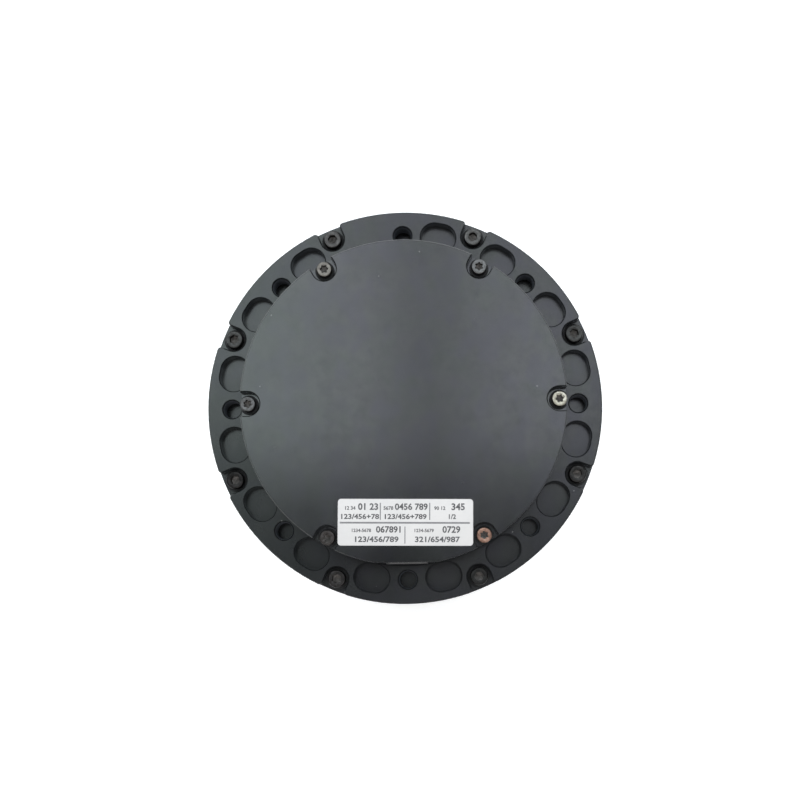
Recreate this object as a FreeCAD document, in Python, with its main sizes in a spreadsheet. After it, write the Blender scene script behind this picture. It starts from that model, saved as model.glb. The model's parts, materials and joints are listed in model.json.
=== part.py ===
# Flat planetary joint actuator: outrunner motor around a 6:1 planetary stage,
# motor controller under the round rear cover, output flange on the front.
# Millimetres.  +Z is the symmetry axis, z = 0 is the face of the output
# flange, the rear cover is at the top (z = 40), -Y is the connector side.
import FreeCAD, Part
import Sketcher
import math
import os

V = FreeCAD.Vector
doc = FreeCAD.newDocument("joint_actuator")

# ---------------------------------------------------------------- dimensions
TABLE = [
    # housings
    ("case_r", 49.0), ("front_z", 2.0), ("split_z", 25.0), ("ring_top_z", 31.0),
    ("wall_in_r", 44.0), ("front_floor_z", 5.2), ("sleeve_in_r", 29.0),
    ("sleeve_out_r", 30.9), ("sleeve_top_z", 24.0), ("stator_step_r", 33.0),
    ("front_bore_r", 27.0), ("front_lip_z", 3.5), ("rear_floor_z", 28.4),
    ("rear_recess_r", 39.0), ("rear_boss_r", 10.6), ("rear_boss_z", 33.9),
    ("seat_z", 30.7), ("seat_in_r", 39.55),
    ("groove_depth", 1.0), ("groove_w", 1.5),
    # rear ring features
    ("tap_pcd_r", 43.0), ("tap_r", 2.25), ("tap_depth", 5.4),
    ("notch_pcd_r", 45.95), ("notch_r", 2.92), ("ledge_z", 28.5),
    ("case_screw_r", 1.25), ("washer_t", 0.4), ("oval_pcd_r", 43.3), ("oval_ang", 11.85),
    ("oval_r", 3.5), ("oval_half", 0.9), ("oval_depth", 2.9),
    # rear cover
    ("cover_r", 39.5), ("cover_top_z", 40.0), ("cover_roof", 1.6),
    ("cover_in_r", 37.7), ("cover_core_r", 33.2), ("cover_pcd_r", 37.6),
    ("cover_notch_r", 2.9), ("cover_ledge_z", 37.4), ("cover_col_ang", 7.5),
    ("port_w", 10.6), ("port_flat_y", 38.75), ("port_top_z", 35.9),
    ("sig_w", 6.4), ("side_w", 7.4), ("sig_x", 9.9),
    ("label_w", 32.4), ("label_h", 11.2), ("label_y", -29.2), ("label_t", 0.1),
    # output side
    ("flange_r", 24.5), ("flange_z", 3.5), ("seat_r", 22.5), ("pilot_r", 10.0),
    ("pilot_d", 2.5), ("plate_z", 13.0), ("out_pcd_r", 18.0), ("pillar_pcd_r", 17.0), ("out_tap_r", 1.65),
    ("out_tap_d", 7.5), ("out_dowel_r", 2.0), ("front_tap_r", 1.65),
    ("front_tap_d", 7.0), ("front_pcd_r", 46.3),
    # gears
    ("mod", 0.8), ("orbit_r", 14.4), ("gear_z0", 13.6), ("gear_z1", 21.4),
    ("sun_z0", 13.3), ("sun_z1", 21.7), ("ring_z0", 13.0), ("ring_z1", 22.0),
    ("pin_r", 3.0), ("bush_r", 4.5), ("pillar_r", 4.3), ("back_z", 24.6),
    # motor
    ("core_z0", 9.5), ("core_z1", 19.5), ("core_r", 39.9), ("coil_over", 2.0),
    ("magnet_r", 40.3), ("rim_in_r", 41.95), ("rim_r", 43.5), ("rim_z0", 8.6),
    ("hub_z", 22.4), ("hub_t", 1.8), ("hub_in_z", 25.2), ("shaft_r", 4.0),
    # electronics
    ("pcb_z", 35.6), ("pcb_t", 1.4), ("pcb_r", 37.3),
]
dims = doc.addObject("Spreadsheet::Sheet", "dims")
for n, (alias, value) in enumerate(TABLE, start=1):
    dims.set("A%d" % n, alias)
    dims.set("B%d" % n, repr(value))
    dims.setAlias("B%d" % n, alias)
doc.recompute()


class Q:
    """A number together with the expression that keeps it tied to the sheet."""

    def __init__(self, v, e):
        self.v, self.e = float(v), e

    def __add__(self, o):
        o = q(o)
        return Q(self.v + o.v, "(%s + %s)" % (self.e, o.e))

    def __radd__(self, o):
        return q(o) + self

    def __sub__(self, o):
        o = q(o)
        return Q(self.v - o.v, "(%s - %s)" % (self.e, o.e))

    def __rsub__(self, o):
        return q(o) - self

    def __mul__(self, o):
        o = q(o)
        return Q(self.v * o.v, "(%s * %s)" % (self.e, o.e))

    def __rmul__(self, o):
        return q(o) * self

    def __neg__(self):
        return Q(-self.v, "(0 - %s)" % self.e)


def q(x):
    return x if isinstance(x, Q) else Q(x, "%.6f" % x)


D = {alias: Q(value, "dims." + alias) for alias, value in TABLE}


def d(name):
    return D[name]


def val(name):
    return D[name].v


# ------------------------------------------------------------ small toolbox
NODES = []


def check_state(ob):
    bad = [s for s in ob.State if s in ("Invalid", "Error")]
    if bad or ob.Shape.isNull():
        raise RuntimeError("%s is %s" % (ob.Name, ob.State))


def body(name):
    b = doc.addObject("PartDesign::Body", name)
    b.Label = name
    NODES.append(b)
    return b


def plane(b, role):
    return [f for f in b.Origin.OriginFeatures if f.Role == role][0]


def new_sketch(b, name, role="XY_Plane", lift=None, turn=0.0):
    sk = b.newObject("Sketcher::SketchObject", name)
    sk.AttachmentSupport = [(plane(b, role), "")]
    sk.MapMode = "FlatFace"
    z = q(0.0 if lift is None else lift)
    sk.AttachmentOffset = FreeCAD.Placement(V(0, 0, z.v), FreeCAD.Rotation(V(0, 0, 1), turn))
    if lift is not None:
        sk.setExpression("AttachmentOffset.Base.z", z.e)
    return sk


def tie(sk, kind, geo, pos, x):
    x = q(x)
    if abs(x.v) < 1e-9:
        sk.addConstraint(Sketcher.Constraint("PointOnObject", geo, pos, -2 if kind == "DistanceX" else -1))
        return
    c = sk.addConstraint(Sketcher.Constraint(kind, -1, 1, geo, pos, x.v))
    if "dims." in x.e:
        sk.setExpression("Constraints[%d]" % c, x.e)


def polygon(sk, pts):
    pts = [(q(x), q(y)) for x, y in pts]
    first = sk.GeometryCount
    n = len(pts)
    for i in range(n):
        a, b = pts[i], pts[(i + 1) % n]
        sk.addGeometry(Part.LineSegment(V(a[0].v, a[1].v, 0), V(b[0].v, b[1].v, 0)), False)
    for i in range(n):
        sk.addConstraint(Sketcher.Constraint("Coincident", first + i, 2, first + (i + 1) % n, 1))
    for i in range(n):
        tie(sk, "DistanceX", first + i, 1, pts[i][0])
        tie(sk, "DistanceY", first + i, 1, pts[i][1])


def circle(sk, x, y, r):
    x, y, r = q(x), q(y), q(r)
    g = sk.addGeometry(Part.Circle(V(x.v, y.v, 0), V(0, 0, 1), r.v), False)
    tie(sk, "DistanceX", g, 3, x)
    tie(sk, "DistanceY", g, 3, y)
    c = sk.addConstraint(Sketcher.Constraint("Radius", g, r.v))
    if "dims." in r.e:
        sk.setExpression("Constraints[%d]" % c, r.e)


def arc3(p, m, e):
    """Arc of circle through three plane points, any direction."""
    ax, ay, bx, by, cx, cy = p[0], p[1], m[0], m[1], e[0], e[1]
    k = 2.0 * (ax * (by - cy) + bx * (cy - ay) + cx * (ay - by))
    ux = ((ax * ax + ay * ay) * (by - cy) + (bx * bx + by * by) * (cy - ay) + (cx * cx + cy * cy) * (ay - by)) / k
    uy = ((ax * ax + ay * ay) * (cx - bx) + (bx * bx + by * by) * (ax - cx) + (cx * cx + cy * cy) * (bx - ax)) / k
    r = math.hypot(ax - ux, ay - uy)
    a0, am, a1 = [math.atan2(t[1] - uy, t[0] - ux) for t in (p, m, e)]
    while am < a0:
        am += 2 * math.pi
    while a1 < a0:
        a1 += 2 * math.pi
    if am > a1:
        a0, a1 = a1, a0 + 2 * math.pi
    return Part.ArcOfCircle(Part.Circle(V(ux, uy, 0), V(0, 0, 1), r), a0, a1)


def revolve(b, name, pts):
    sk = new_sketch(b, name + "_profile", "XZ_Plane")
    polygon(sk, pts)
    rev = b.newObject("PartDesign::Revolution", name)
    rev.Profile = sk
    rev.ReferenceAxis = (sk, ["V_Axis"])
    rev.Angle = 360.0
    b.Tip = rev
    doc.recompute()
    check_state(rev)
    return rev


def pad(b, name, sk, length, up=True):
    f = b.newObject("PartDesign::Pad", name)
    f.Profile = sk
    length = q(length)
    f.Length = length.v
    if "dims." in length.e:
        f.setExpression("Length", length.e)
    f.Reversed = not up
    b.Tip = f
    doc.recompute()
    check_state(f)
    return f


def pocket(b, name, sk, depth, up=False):
    before = b.Shape.Volume
    f = b.newObject("PartDesign::Pocket", name)
    f.Profile = sk
    depth = q(depth)
    f.Length = depth.v
    if "dims." in depth.e:
        f.setExpression("Length", depth.e)
    f.Reversed = up
    b.Tip = f
    doc.recompute()
    check_state(f)
    if not f.Shape.Volume < before - 1e-6:
        raise RuntimeError("%s removes nothing" % name)
    return f


def pattern(b, name, feat, sk, count, sweep=360.0):
    before = b.Shape.Volume
    p = b.newObject("PartDesign::PolarPattern", name)
    p.Originals = [feat]
    p.Axis = (sk, ["N_Axis"])
    p.Angle = sweep
    p.Occurrences = int(count)
    b.Tip = p
    doc.recompute()
    check_state(p)
    if abs(p.Shape.Volume - before) < 1e-6:
        raise RuntimeError("%s adds nothing" % name)
    return p


def dress(b, kind, name, size, pick):
    base = b.Tip
    names = ["Edge%d" % i for i, e in enumerate(base.Shape.Edges, start=1) if pick(e)]
    if not names:
        raise RuntimeError("%s finds no edge" % name)
    f = b.newObject("PartDesign::" + kind, name)
    f.Base = (base, names)
    if kind == "Fillet":
        f.Radius = size
    else:
        f.Size = size
    b.Tip = f
    doc.recompute()
    check_state(f)
    return f


def on_circle(r, z, tol=0.02):
    def pick(e):
        c = e.Curve
        return (hasattr(c, "Radius") and abs(c.Radius - r) < tol and abs(e.CenterOfMass.z - z) < tol
                and abs(c.Center.x) < tol and abs(c.Center.y) < tol)
    return pick


def upright(r0, r1, z0, z1):
    """Vertical straight edges between two radii whose middle lies in a height band."""
    def pick(e):
        if len(e.Vertexes) != 2 or hasattr(e.Curve, "Radius"):
            return False
        a, c = e.Vertexes[0].Point, e.Vertexes[1].Point
        if math.hypot(a.x - c.x, a.y - c.y) > 1e-4:
            return False
        return r0 < math.hypot(a.x, a.y) < r1 and z0 < 0.5 * (a.z + c.z) < z1
    return pick


def ring(name, r0, r1, z0, z1, edge=0.0):
    b = body(name)
    r0, r1, z0, z1 = q(r0), q(r1), q(z0), q(z1)
    if edge:
        pts = [(r0 + edge, z0), (r1 - edge, z0), (r1, z0 + edge), (r1, z1 - edge), (r1 - edge, z1),
               (r0 + edge, z1), (r0, z1 - edge), (r0, z0 + edge)]
    else:
        pts = [(r0, z0), (r1, z0), (r1, z1), (r0, z1)]
    revolve(b, name + "_turned", pts)
    return b


def group(name, shapes):
    o = doc.addObject("Part::Feature", name)
    o.Label = name
    o.Shape = Part.makeCompound(shapes)
    o.Placement = FreeCAD.Placement(V(0, 0, 0), FreeCAD.Rotation())
    NODES.append(o)
    return o


def polar(r, a):
    t = math.radians(a)
    return r * math.cos(t), r * math.sin(t)


def spin(shape, a):
    s = shape.copy()
    s.rotate(V(0, 0, 0), V(0, 0, 1), a)
    return s


def box(x0, x1, y0, y1, z0, z1, round_z=0.0):
    s = Part.makeBox(x1 - x0, y1 - y0, z1 - z0, V(x0, y0, z0))
    if round_z:
        s = s.makeFillet(round_z, [e for e in s.Edges if abs(e.tangentAt(e.FirstParameter).z) > 0.99])
    return s


def cyl(x, y, z0, z1, r):
    return Part.makeCylinder(r, z1 - z0, V(x, y, z0))


# ------------------------------------------------------------------- gearing
PA = math.radians(20.0)
BACKLASH = 0.05


def inv(a):
    return math.tan(a) - a


def half_angle(r, rp, rb, width):
    return width / (2 * rp) + inv(PA) - inv(math.acos(min(1.0, rb / r)))


def gap_outline(teeth, width, root, tip, outside):
    """Tooth gap centred on +X: flank points from root to past the tip."""
    m = val("mod")
    rp = m * teeth / 2.0
    rb = rp * math.cos(PA)
    flank = []
    if outside:
        lo = max(rb, root + 0.02)
        rs = [lo + (tip - lo) * t for t in (0.0, 0.12, 0.34, 0.64, 1.0)]
        flank = [(r, math.pi / teeth - half_angle(r, rp, rb, width)) for r in rs]
        start = (root, flank[0][1])
        end = (tip + 0.35, flank[-1][1])
    else:
        lo = tip
        rs = [lo + (root - lo) * t for t in (0.0, 0.25, 0.5, 0.75, 1.0)]
        flank = [(r, half_angle(r, rp, rb, width)) for r in rs]
        start = (tip - 0.35, flank[0][1])
        end = None
    return flank, start, end


def xy(p, sign=1.0):
    return (p[0] * math.cos(p[1]), sign * p[0] * math.sin(p[1]))


def gap_sketch(b, name, teeth, width, root, tip, outside, lift, turn):
    sk = new_sketch(b, name, "XY_Plane", lift, turn)
    flank, start, end = gap_outline(teeth, width, root, tip, outside)
    geo = []
    for s in (1.0, -1.0):
        pts = [xy(p, s) for p in flank]
        geo.append(arc3(pts[0], pts[1], pts[2]))
        geo.append(arc3(pts[2], pts[3], pts[4]))
    if outside:
        for s in (1.0, -1.0):
            a, c = xy(start, s), xy(flank[0], s)
            geo.append(Part.LineSegment(V(a[0], a[1], 0), V(c[0], c[1], 0)))
            a, c = xy(flank[-1], s), xy(end, s)
            geo.append(Part.LineSegment(V(a[0], a[1], 0), V(c[0], c[1], 0)))
        geo.append(arc3(xy(start, 1.0), (root, 0.0), xy(start, -1.0)))
        a, c = xy(end, 1.0), xy(end, -1.0)
        geo.append(Part.LineSegment(V(a[0], a[1], 0), V(c[0], c[1], 0)))
    else:
        for s in (1.0, -1.0):
            a, c = xy(start, s), xy(flank[0], s)
            geo.append(Part.LineSegment(V(a[0], a[1], 0), V(c[0], c[1], 0)))
        a, c = xy(start, 1.0), xy(start, -1.0)
        geo.append(Part.LineSegment(V(a[0], a[1], 0), V(c[0], c[1], 0)))
        geo.append(arc3(xy(flank[-1], 1.0), (root, 0.0), xy(flank[-1], -1.0)))
    sk.addGeometry(geo, False)
    return sk


# ============================================================ FIXED HOUSING
# ------------------------------------------------------------ front housing
fh = body("front_housing")
gw, gd = d("groove_w"), d("groove_depth")
fins = []
for zc in (12.0, 16.0, 20.0):
    fins += [(d("case_r"), zc), (d("case_r") - gd, zc), (d("case_r") - gd, gw + zc), (d("case_r"), gw + zc)]
revolve(fh, "front_turned", [
    (d("front_bore_r"), d("front_z")), (d("case_r"), d("front_z"))] + fins + [
    (d("case_r"), d("split_z")), (d("wall_in_r"), d("split_z")),
    (d("wall_in_r"), d("front_floor_z")), (d("stator_step_r"), d("front_floor_z")),
    (d("stator_step_r"), d("core_z0")), (d("sleeve_out_r"), d("core_z0")),
    (d("sleeve_out_r"), d("sleeve_top_z")), (d("sleeve_in_r"), d("sleeve_top_z")),
    (d("sleeve_in_r"), d("front_lip_z")), (d("front_bore_r"), d("front_lip_z"))])
dress(fh, "Chamfer", "front_edge", 0.7, on_circle(val("case_r"), val("front_z")))
dress(fh, "Chamfer", "front_bore_edge", 0.3, on_circle(val("front_bore_r"), val("front_z")))
# snap ring groove above the ring gear
gr_sk = new_sketch(fh, "clip_groove_profile", "XZ_Plane")
polygon(gr_sk, [(d("sleeve_in_r") - 0.5, d("ring_z1")), (d("sleeve_in_r") + 0.6, d("ring_z1")),
                (d("sleeve_in_r") + 0.6, d("ring_z1") + 0.9), (d("sleeve_in_r") - 0.5, d("ring_z1") + 0.9)])
gr = fh.newObject("PartDesign::Groove", "clip_groove")
gr.Profile = gr_sk
gr.ReferenceAxis = (gr_sk, ["V_Axis"])
gr.Angle = 360.0
fh.Tip = gr
doc.recompute()
check_state(gr)
# tapped holes of the joining screws, from the split face
sk = new_sketch(fh, "join_holes_sketch", "XY_Plane", d("split_z"), 22.5)
circle(sk, d("notch_pcd_r"), 0.0, d("case_screw_r") + 0.02)
f = pocket(fh, "join_hole", sk, 8.0)
pattern(fh, "join_holes", f, sk, 8)
# tapped mounting holes in the front face
sk = new_sketch(fh, "front_tap_sketch", "XY_Plane", d("front_z"))
circle(sk, d("front_pcd_r"), 0.0, d("front_tap_r"))
f = pocket(fh, "front_tap", sk, d("front_tap_d"), up=True)
pattern(fh, "front_taps", f, sk, 8)
# dowel holes
sk = new_sketch(fh, "dowel_sketch", "XY_Plane", d("split_z"))
circle(sk, 47.2, 0.0, 1.0)
f = pocket(fh, "dowel_hole", sk, 3.0)
pattern(fh, "dowel_holes", f, sk, 2)
# channel for the three motor leads in the wall
LEAD_A = 101.25
sk = new_sketch(fh, "lead_channel_sketch", "XY_Plane", d("split_z"), LEAD_A)
polygon(sk, [(43.0, -3.7), (46.5, -3.7), (46.5, 3.7), (43.0, 3.7)])
pocket(fh, "lead_channel", sk, d("split_z") - d("front_floor_z"))

# ------------------------------------------------------------- rear housing
rh = body("rear_housing")
revolve(rh, "rear_turned", [
    (6.6, d("rear_floor_z")), (d("rear_recess_r"), d("rear_floor_z")), (d("rear_recess_r"), d("split_z")),
    (d("case_r"), d("split_z")), (d("case_r"), d("ring_top_z")),
    (d("seat_in_r"), d("ring_top_z")), (d("seat_in_r"), d("seat_z")),
    (d("rear_boss_r"), d("seat_z")), (d("rear_boss_r"), d("rear_boss_z")),
    (8.0, d("rear_boss_z")), (8.0, 29.2), (6.6, 29.2)])
# open notches for the joining screws, rounded where they meet the rim
sk = new_sketch(rh, "notch_sketch", "XY_Plane", d("ring_top_z"), 22.5)
nr, npc = val("notch_r"), val("notch_pcd_r")
sk.addGeometry([
    arc3((npc, nr), (npc - nr, 0.0), (npc, -nr)),
    Part.LineSegment(V(npc, -nr, 0), V(npc + 6, -nr, 0)),
    Part.LineSegment(V(npc + 6, -nr, 0), V(npc + 6, nr, 0)),
    Part.LineSegment(V(npc + 6, nr, 0), V(npc, nr, 0))], False)
f = pocket(rh, "notch", sk, d("ring_top_z") - d("ledge_z"))
pattern(rh, "notches", f, sk, 8)
dress(rh, "Fillet", "notch_corners", 0.9,
      upright(48.5, 49.5, val("ledge_z"), val("ring_top_z")))
sk = new_sketch(rh, "join_clear_sketch", "XY_Plane", d("ledge_z"), 22.5)
circle(sk, d("notch_pcd_r"), 0.0, 1.4)
f = pocket(rh, "join_clear", sk, 6.0)
pattern(rh, "join_clears", f, sk, 8)
# tapped mounting holes
sk = new_sketch(rh, "tap_sketch", "XY_Plane", d("ring_top_z"))
circle(sk, d("tap_pcd_r"), 0.0, d("tap_r"))
f = pocket(rh, "tap", sk, d("tap_depth"))
pattern(rh, "taps", f, sk, 8)
# flat-floored oval pockets, one each side of every hole but for the plain pad left of the top one
for side, at, count, sweep in (("l", -val("oval_ang"), 8, 360.0), ("r", 135.0 + val("oval_ang"), 7, 270.0)):
    sk = new_sketch(rh, "oval_sketch_" + side, "XY_Plane", d("ring_top_z"), at)
    orr, oh, oc = val("oval_r"), val("oval_half"), val("oval_pcd_r")
    sk.addGeometry([
        arc3((oc + orr, oh), (oc, oh + orr), (oc - orr, oh)),
        Part.LineSegment(V(oc - orr, oh, 0), V(oc - orr, -oh, 0)),
        arc3((oc - orr, -oh), (oc, -oh - orr), (oc + orr, -oh)),
        Part.LineSegment(V(oc + orr, -oh, 0), V(oc + orr, oh, 0))], False)
    f = pocket(rh, "oval_" + side, sk, d("oval_depth"))
    pattern(rh, "ovals_" + side, f, sk, count, sweep)
pad_x, pad_y = polar(val("oval_pcd_r"), 90.0 + val("oval_ang"))
if not rh.Shape.isInside(V(pad_x, pad_y, val("ring_top_z") - 1.0), 1e-3, False):
    raise RuntimeError("the plain pad is missing")
# groove in the underside and slot in the floor for the motor leads
sk = new_sketch(rh, "lead_groove_sketch", "XY_Plane", d("split_z"), LEAD_A)
polygon(sk, [(37.0, -3.7), (46.6, -3.7), (46.6, 3.7), (37.0, 3.7)])
pocket(rh, "lead_groove", sk, 2.2, up=True)
sk = new_sketch(rh, "lead_slot_sketch", "XY_Plane", d("ring_top_z"), LEAD_A)
polygon(sk, [(33.9, -3.7), (37.0, -3.7), (37.0, 3.7), (33.9, 3.7)])
pocket(rh, "lead_slot", sk, 4.0)
# dowel holes, board posts, cover screw holes
sk = new_sketch(rh, "rear_dowel_sketch", "XY_Plane", d("split_z"))
circle(sk, 47.2, 0.0, 1.0)
f = pocket(rh, "rear_dowel_hole", sk, 3.0, up=True)
pattern(rh, "rear_dowel_holes", f, sk, 2)
sk = new_sketch(rh, "post_sketch", "XY_Plane", d("seat_z"), 30.0)
circle(sk, 24.0, 0.0, 2.4)
f = pad(rh, "post", sk, d("pcb_z") - d("seat_z"))
pattern(rh, "posts", f, sk, 3)
sk = new_sketch(rh, "post_hole_sketch", "XY_Plane", d("pcb_z"), 30.0)
circle(sk, 24.0, 0.0, 1.02)
f = pocket(rh, "post_hole", sk, 5.4)
pattern(rh, "post_holes", f, sk, 3)
sk = new_sketch(rh, "cover_tap_sketch", "XY_Plane", d("seat_z"))
circle(sk, d("cover_pcd_r"), 0.0, 1.02)
f = pocket(rh, "cover_tap", sk, 2.1)
pattern(rh, "cover_taps", f, sk, 6)
dress(rh, "Chamfer", "ring_edge", 0.25,
      lambda e: hasattr(e.Curve, "Radius") and abs(e.Curve.Radius - val("case_r")) < 0.01
      and abs(e.CenterOfMass.z - val("ring_top_z")) < 0.01)
dress(rh, "Chamfer", "tap_mouths", 0.25,
      lambda e: hasattr(e.Curve, "Radius") and abs(e.Curve.Radius - val("tap_r")) < 0.01
      and abs(e.CenterOfMass.z - val("ring_top_z")) < 0.01)
dress(rh, "Chamfer", "oval_mouths", 0.2,
      lambda e: abs(e.CenterOfMass.z - val("ring_top_z")) < 0.01
      and all(abs(v.Point.z - val("ring_top_z")) < 0.01 for v in e.Vertexes)
      and all(39.7 < math.hypot(v.Point.x, v.Point.y) < 47.2 for v in e.Vertexes)
      and (not hasattr(e.Curve, "Radius") or abs(e.Curve.Radius - val("oval_r")) < 0.01)
      and (hasattr(e.Curve, "Radius") or e.Length < 2.0))
# snap ring groove for the rear bearing
g_sk = new_sketch(rh, "rear_clip_profile", "XZ_Plane")
polygon(g_sk, [(7.5, 33.2), (8.4, 33.2), (8.4, 33.7), (7.5, 33.7)])
gr = rh.newObject("PartDesign::Groove", "rear_clip_groove")
gr.Profile = g_sk
gr.ReferenceAxis = (g_sk, ["V_Axis"])
gr.Angle = 360.0
rh.Tip = gr
doc.recompute()
check_state(gr)

# --------------------------------------------------------------- rear cover
rc = body("rear_cover")
revolve(rc, "cover_turned", [
    (0.0, d("seat_z")), (d("cover_r"), d("seat_z")), (d("cover_r"), d("cover_top_z")),
    (0.0, d("cover_top_z"))])
hollow = d("cover_top_z") - d("cover_roof") - d("seat_z")
sk = new_sketch(rc, "cover_core_sketch", "XY_Plane", d("seat_z"))
circle(sk, 0.0, 0.0, d("cover_core_r"))
pocket(rc, "cover_core", sk, hollow, up=True)
# bays between the six screw columns
sk = new_sketch(rc, "bay_sketch", "XY_Plane", d("seat_z"), 30.0)
ha = math.radians(30.0 - val("cover_col_ang"))
ri, ro = val("cover_core_r") - 0.4, val("cover_in_r")
p1, p2 = (ri * math.cos(ha), ri * math.sin(ha)), (ro * math.cos(ha), ro * math.sin(ha))
p3, p4 = (p2[0], -p2[1]), (p1[0], -p1[1])
sk.addGeometry([
    Part.LineSegment(V(p1[0], p1[1], 0), V(p2[0], p2[1], 0)), arc3(p2, (ro, 0.0), p3),
    Part.LineSegment(V(p3[0], p3[1], 0), V(p4[0], p4[1], 0)), arc3(p4, (ri, 0.0), p1)], False)
f = pocket(rc, "bay", sk, hollow, up=True)
pattern(rc, "bays", f, sk, 6)
# open screw notches
sk = new_sketch(rc, "cover_notch_sketch", "XY_Plane", d("cover_top_z"))
nr, npc = val("cover_notch_r"), val("cover_pcd_r")
sk.addGeometry([
    arc3((npc, nr), (npc - nr, 0.0), (npc, -nr)),
    Part.LineSegment(V(npc, -nr, 0), V(npc + 5, -nr, 0)),
    Part.LineSegment(V(npc + 5, -nr, 0), V(npc + 5, nr, 0)),
    Part.LineSegment(V(npc + 5, nr, 0), V(npc, nr, 0))], False)
f = pocket(rc, "cover_notch", sk, d("cover_top_z") - d("cover_ledge_z"))
pattern(rc, "cover_notches", f, sk, 6)
sk = new_sketch(rc, "cover_hole_sketch", "XY_Plane", d("cover_ledge_z"))
circle(sk, d("cover_pcd_r"), 0.0, 1.15)
f = pocket(rc, "cover_hole", sk, 8.0)
pattern(rc, "cover_holes", f, sk, 6)
# flat and windows for the connectors, open towards the housing
sk = new_sketch(rc, "flat_sketch", "XY_Plane", d("cover_top_z"))
polygon(sk, [(-8.0, -41.0), (8.0, -41.0), (8.0, -d("port_flat_y")), (-8.0, -d("port_flat_y"))])
pocket(rc, "port_flat", sk, 10.0)
win = d("port_top_z") - d("seat_z")
sk = new_sketch(rc, "power_window_sketch", "XY_Plane", d("seat_z"))
hw = d("port_w") * 0.5
polygon(sk, [(-hw, -42.0), (hw, -42.0), (hw, -30.0), (-hw, -30.0)])
pocket(rc, "power_window", sk, win, up=True)
for side, sgn in (("l", -1.0), ("r", 1.0)):
    sk = new_sketch(rc, "signal_window_sketch_" + side, "XY_Plane", d("seat_z"))
    x0, x1 = (d("sig_x") - d("sig_w") * 0.5) * sgn, (d("sig_x") + d("sig_w") * 0.5) * sgn
    polygon(sk, [(x0, -42.0), (x1, -42.0), (x1, -31.5), (x0, -31.5)])
    pocket(rc, "signal_window_" + side, sk, win, up=True)
    sk = new_sketch(rc, "side_window_sketch_" + side, "XY_Plane", d("seat_z"), 60.0 * sgn)
    hs = d("side_w") * 0.5
    polygon(sk, [(-hs, -42.0), (hs, -42.0), (hs, -32.5), (-hs, -32.5)])
    pocket(rc, "side_window_" + side, sk, win, up=True)
dress(rc, "Chamfer", "cover_edge", 0.25,
      lambda e: abs(e.CenterOfMass.z - val("cover_top_z")) < 0.01
      and all(abs(v.Point.z - val("cover_top_z")) < 0.01 for v in e.Vertexes)
      and all(math.hypot(v.Point.x, v.Point.y) > 34.0 for v in e.Vertexes))

# -------------------------------------------------------------- label plate
lb = body("port_label")
sk = new_sketch(lb, "label_sketch", "XY_Plane", d("cover_top_z"))
hw, hh, ly = d("label_w") * 0.5, d("label_h") * 0.5, d("label_y")
polygon(sk, [(-hw, ly - hh), (hw, ly - hh), (hw, ly + hh), (-hw, ly + hh)])
pad(lb, "label_sheet", sk, d("label_t"))
dress(lb, "Fillet", "label_corners", 0.8,
      lambda e: len(e.Vertexes) == 2 and abs(e.Vertexes[0].Point.z - e.Vertexes[1].Point.z) > 0.05)

# ---------------------------------------------------- fixed gear and bearing
ring("output_seal", 24.8, 26.97, 2.15, 3.45, 0.15)


def race(name, r0, r1, z0, z1, track_r, ball_r, edge=0.25):
    """Bearing ring with its ball track."""
    b = ring(name, r0, r1, z0, z1, edge)
    t = new_sketch(b, name + "_track_sketch", "XZ_Plane")
    zm = 0.5 * (z0 + z1)
    circle(t, track_r, zm, ball_r + 0.05)
    g = b.newObject("PartDesign::Groove", name + "_track")
    g.Profile = t
    g.ReferenceAxis = (t, ["V_Axis"])
    g.Angle = 360.0
    b.Tip = g
    doc.recompute()
    check_state(g)
    return b


def balls(name, count, track_r, zm, ball_r):
    out = []
    for k in range(count):
        x, y = polar(track_r, 360.0 * k / count)
        out.append(Part.makeSphere(ball_r, V(x, y, zm)))
    return group(name, out)


race("output_bearing_outer", 26.8, 29.0, 3.5, 10.5, 25.75, 1.6)
ring("bearing_spacer", 26.8, 29.0, 10.5, 13.0, 0.2)

rg = body("ring_gear")
RING_W = 1.0819 + BACKLASH
revolve(rg, "ring_blank", [(23.2, d("ring_z0")), (d("sleeve_in_r"), d("ring_z0")),
                           (d("sleeve_in_r"), d("ring_z1")), (23.2, d("ring_z1"))])
sk = gap_sketch(rg, "ring_gap_sketch", 60, RING_W, 24.76, 23.2, False, d("ring_z1"), 3.0)
f = pocket(rg, "ring_gap", sk, d("ring_z1") - d("ring_z0"))
pattern(rg, "ring_teeth", f, sk, 60)

# open snap rings
def snap(name, r0, r1, z0, z1, gap_deg):
    s = Part.makeCylinder(r1, z1 - z0, V(0, 0, z0)).cut(Part.makeCylinder(r0, z1 - z0, V(0, 0, z0)))
    a = math.radians(gap_deg / 2.0)
    w = 2.0 * r1
    cutter = Part.Face(Part.makePolygon([V(0, 0, z0), V(w * math.cos(a), w * math.sin(a), z0),
                                         V(w * math.cos(a), -w * math.sin(a), z0), V(0, 0, z0)]))
    return group(name, [s.cut(cutter.extrude(V(0, 0, z1 - z0)))])


snap("ring_gear_clip", 27.4, 29.55, 22.02, 22.82, 26.0)
snap("rear_bearing_clip", 6.9, 8.35, 33.22, 33.62, 40.0)

# -------------------------------------------------------------------- stator
sc = body("stator_core")
revolve(sc, "core_blank", [(d("sleeve_out_r"), d("core_z0")), (d("core_r"), d("core_z0")),
                           (d("core_r"), d("core_z1")), (d("sleeve_out_r"), d("core_z1"))])
SLOT = [(41.0, 0.8), (38.9, 0.8), (38.13, 3.0), (33.57, 2.4), (33.57, -2.4), (38.13, -3.0),
        (38.9, -0.8), (41.0, -0.8)]
sk = new_sketch(sc, "slot_sketch", "XY_Plane", d("core_z1"), 7.5)
polygon(sk, SLOT)
f = pocket(sc, "slot", sk, d("core_z1") - d("core_z0"))
pattern(sc, "slots", f, sk, 24)


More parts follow.
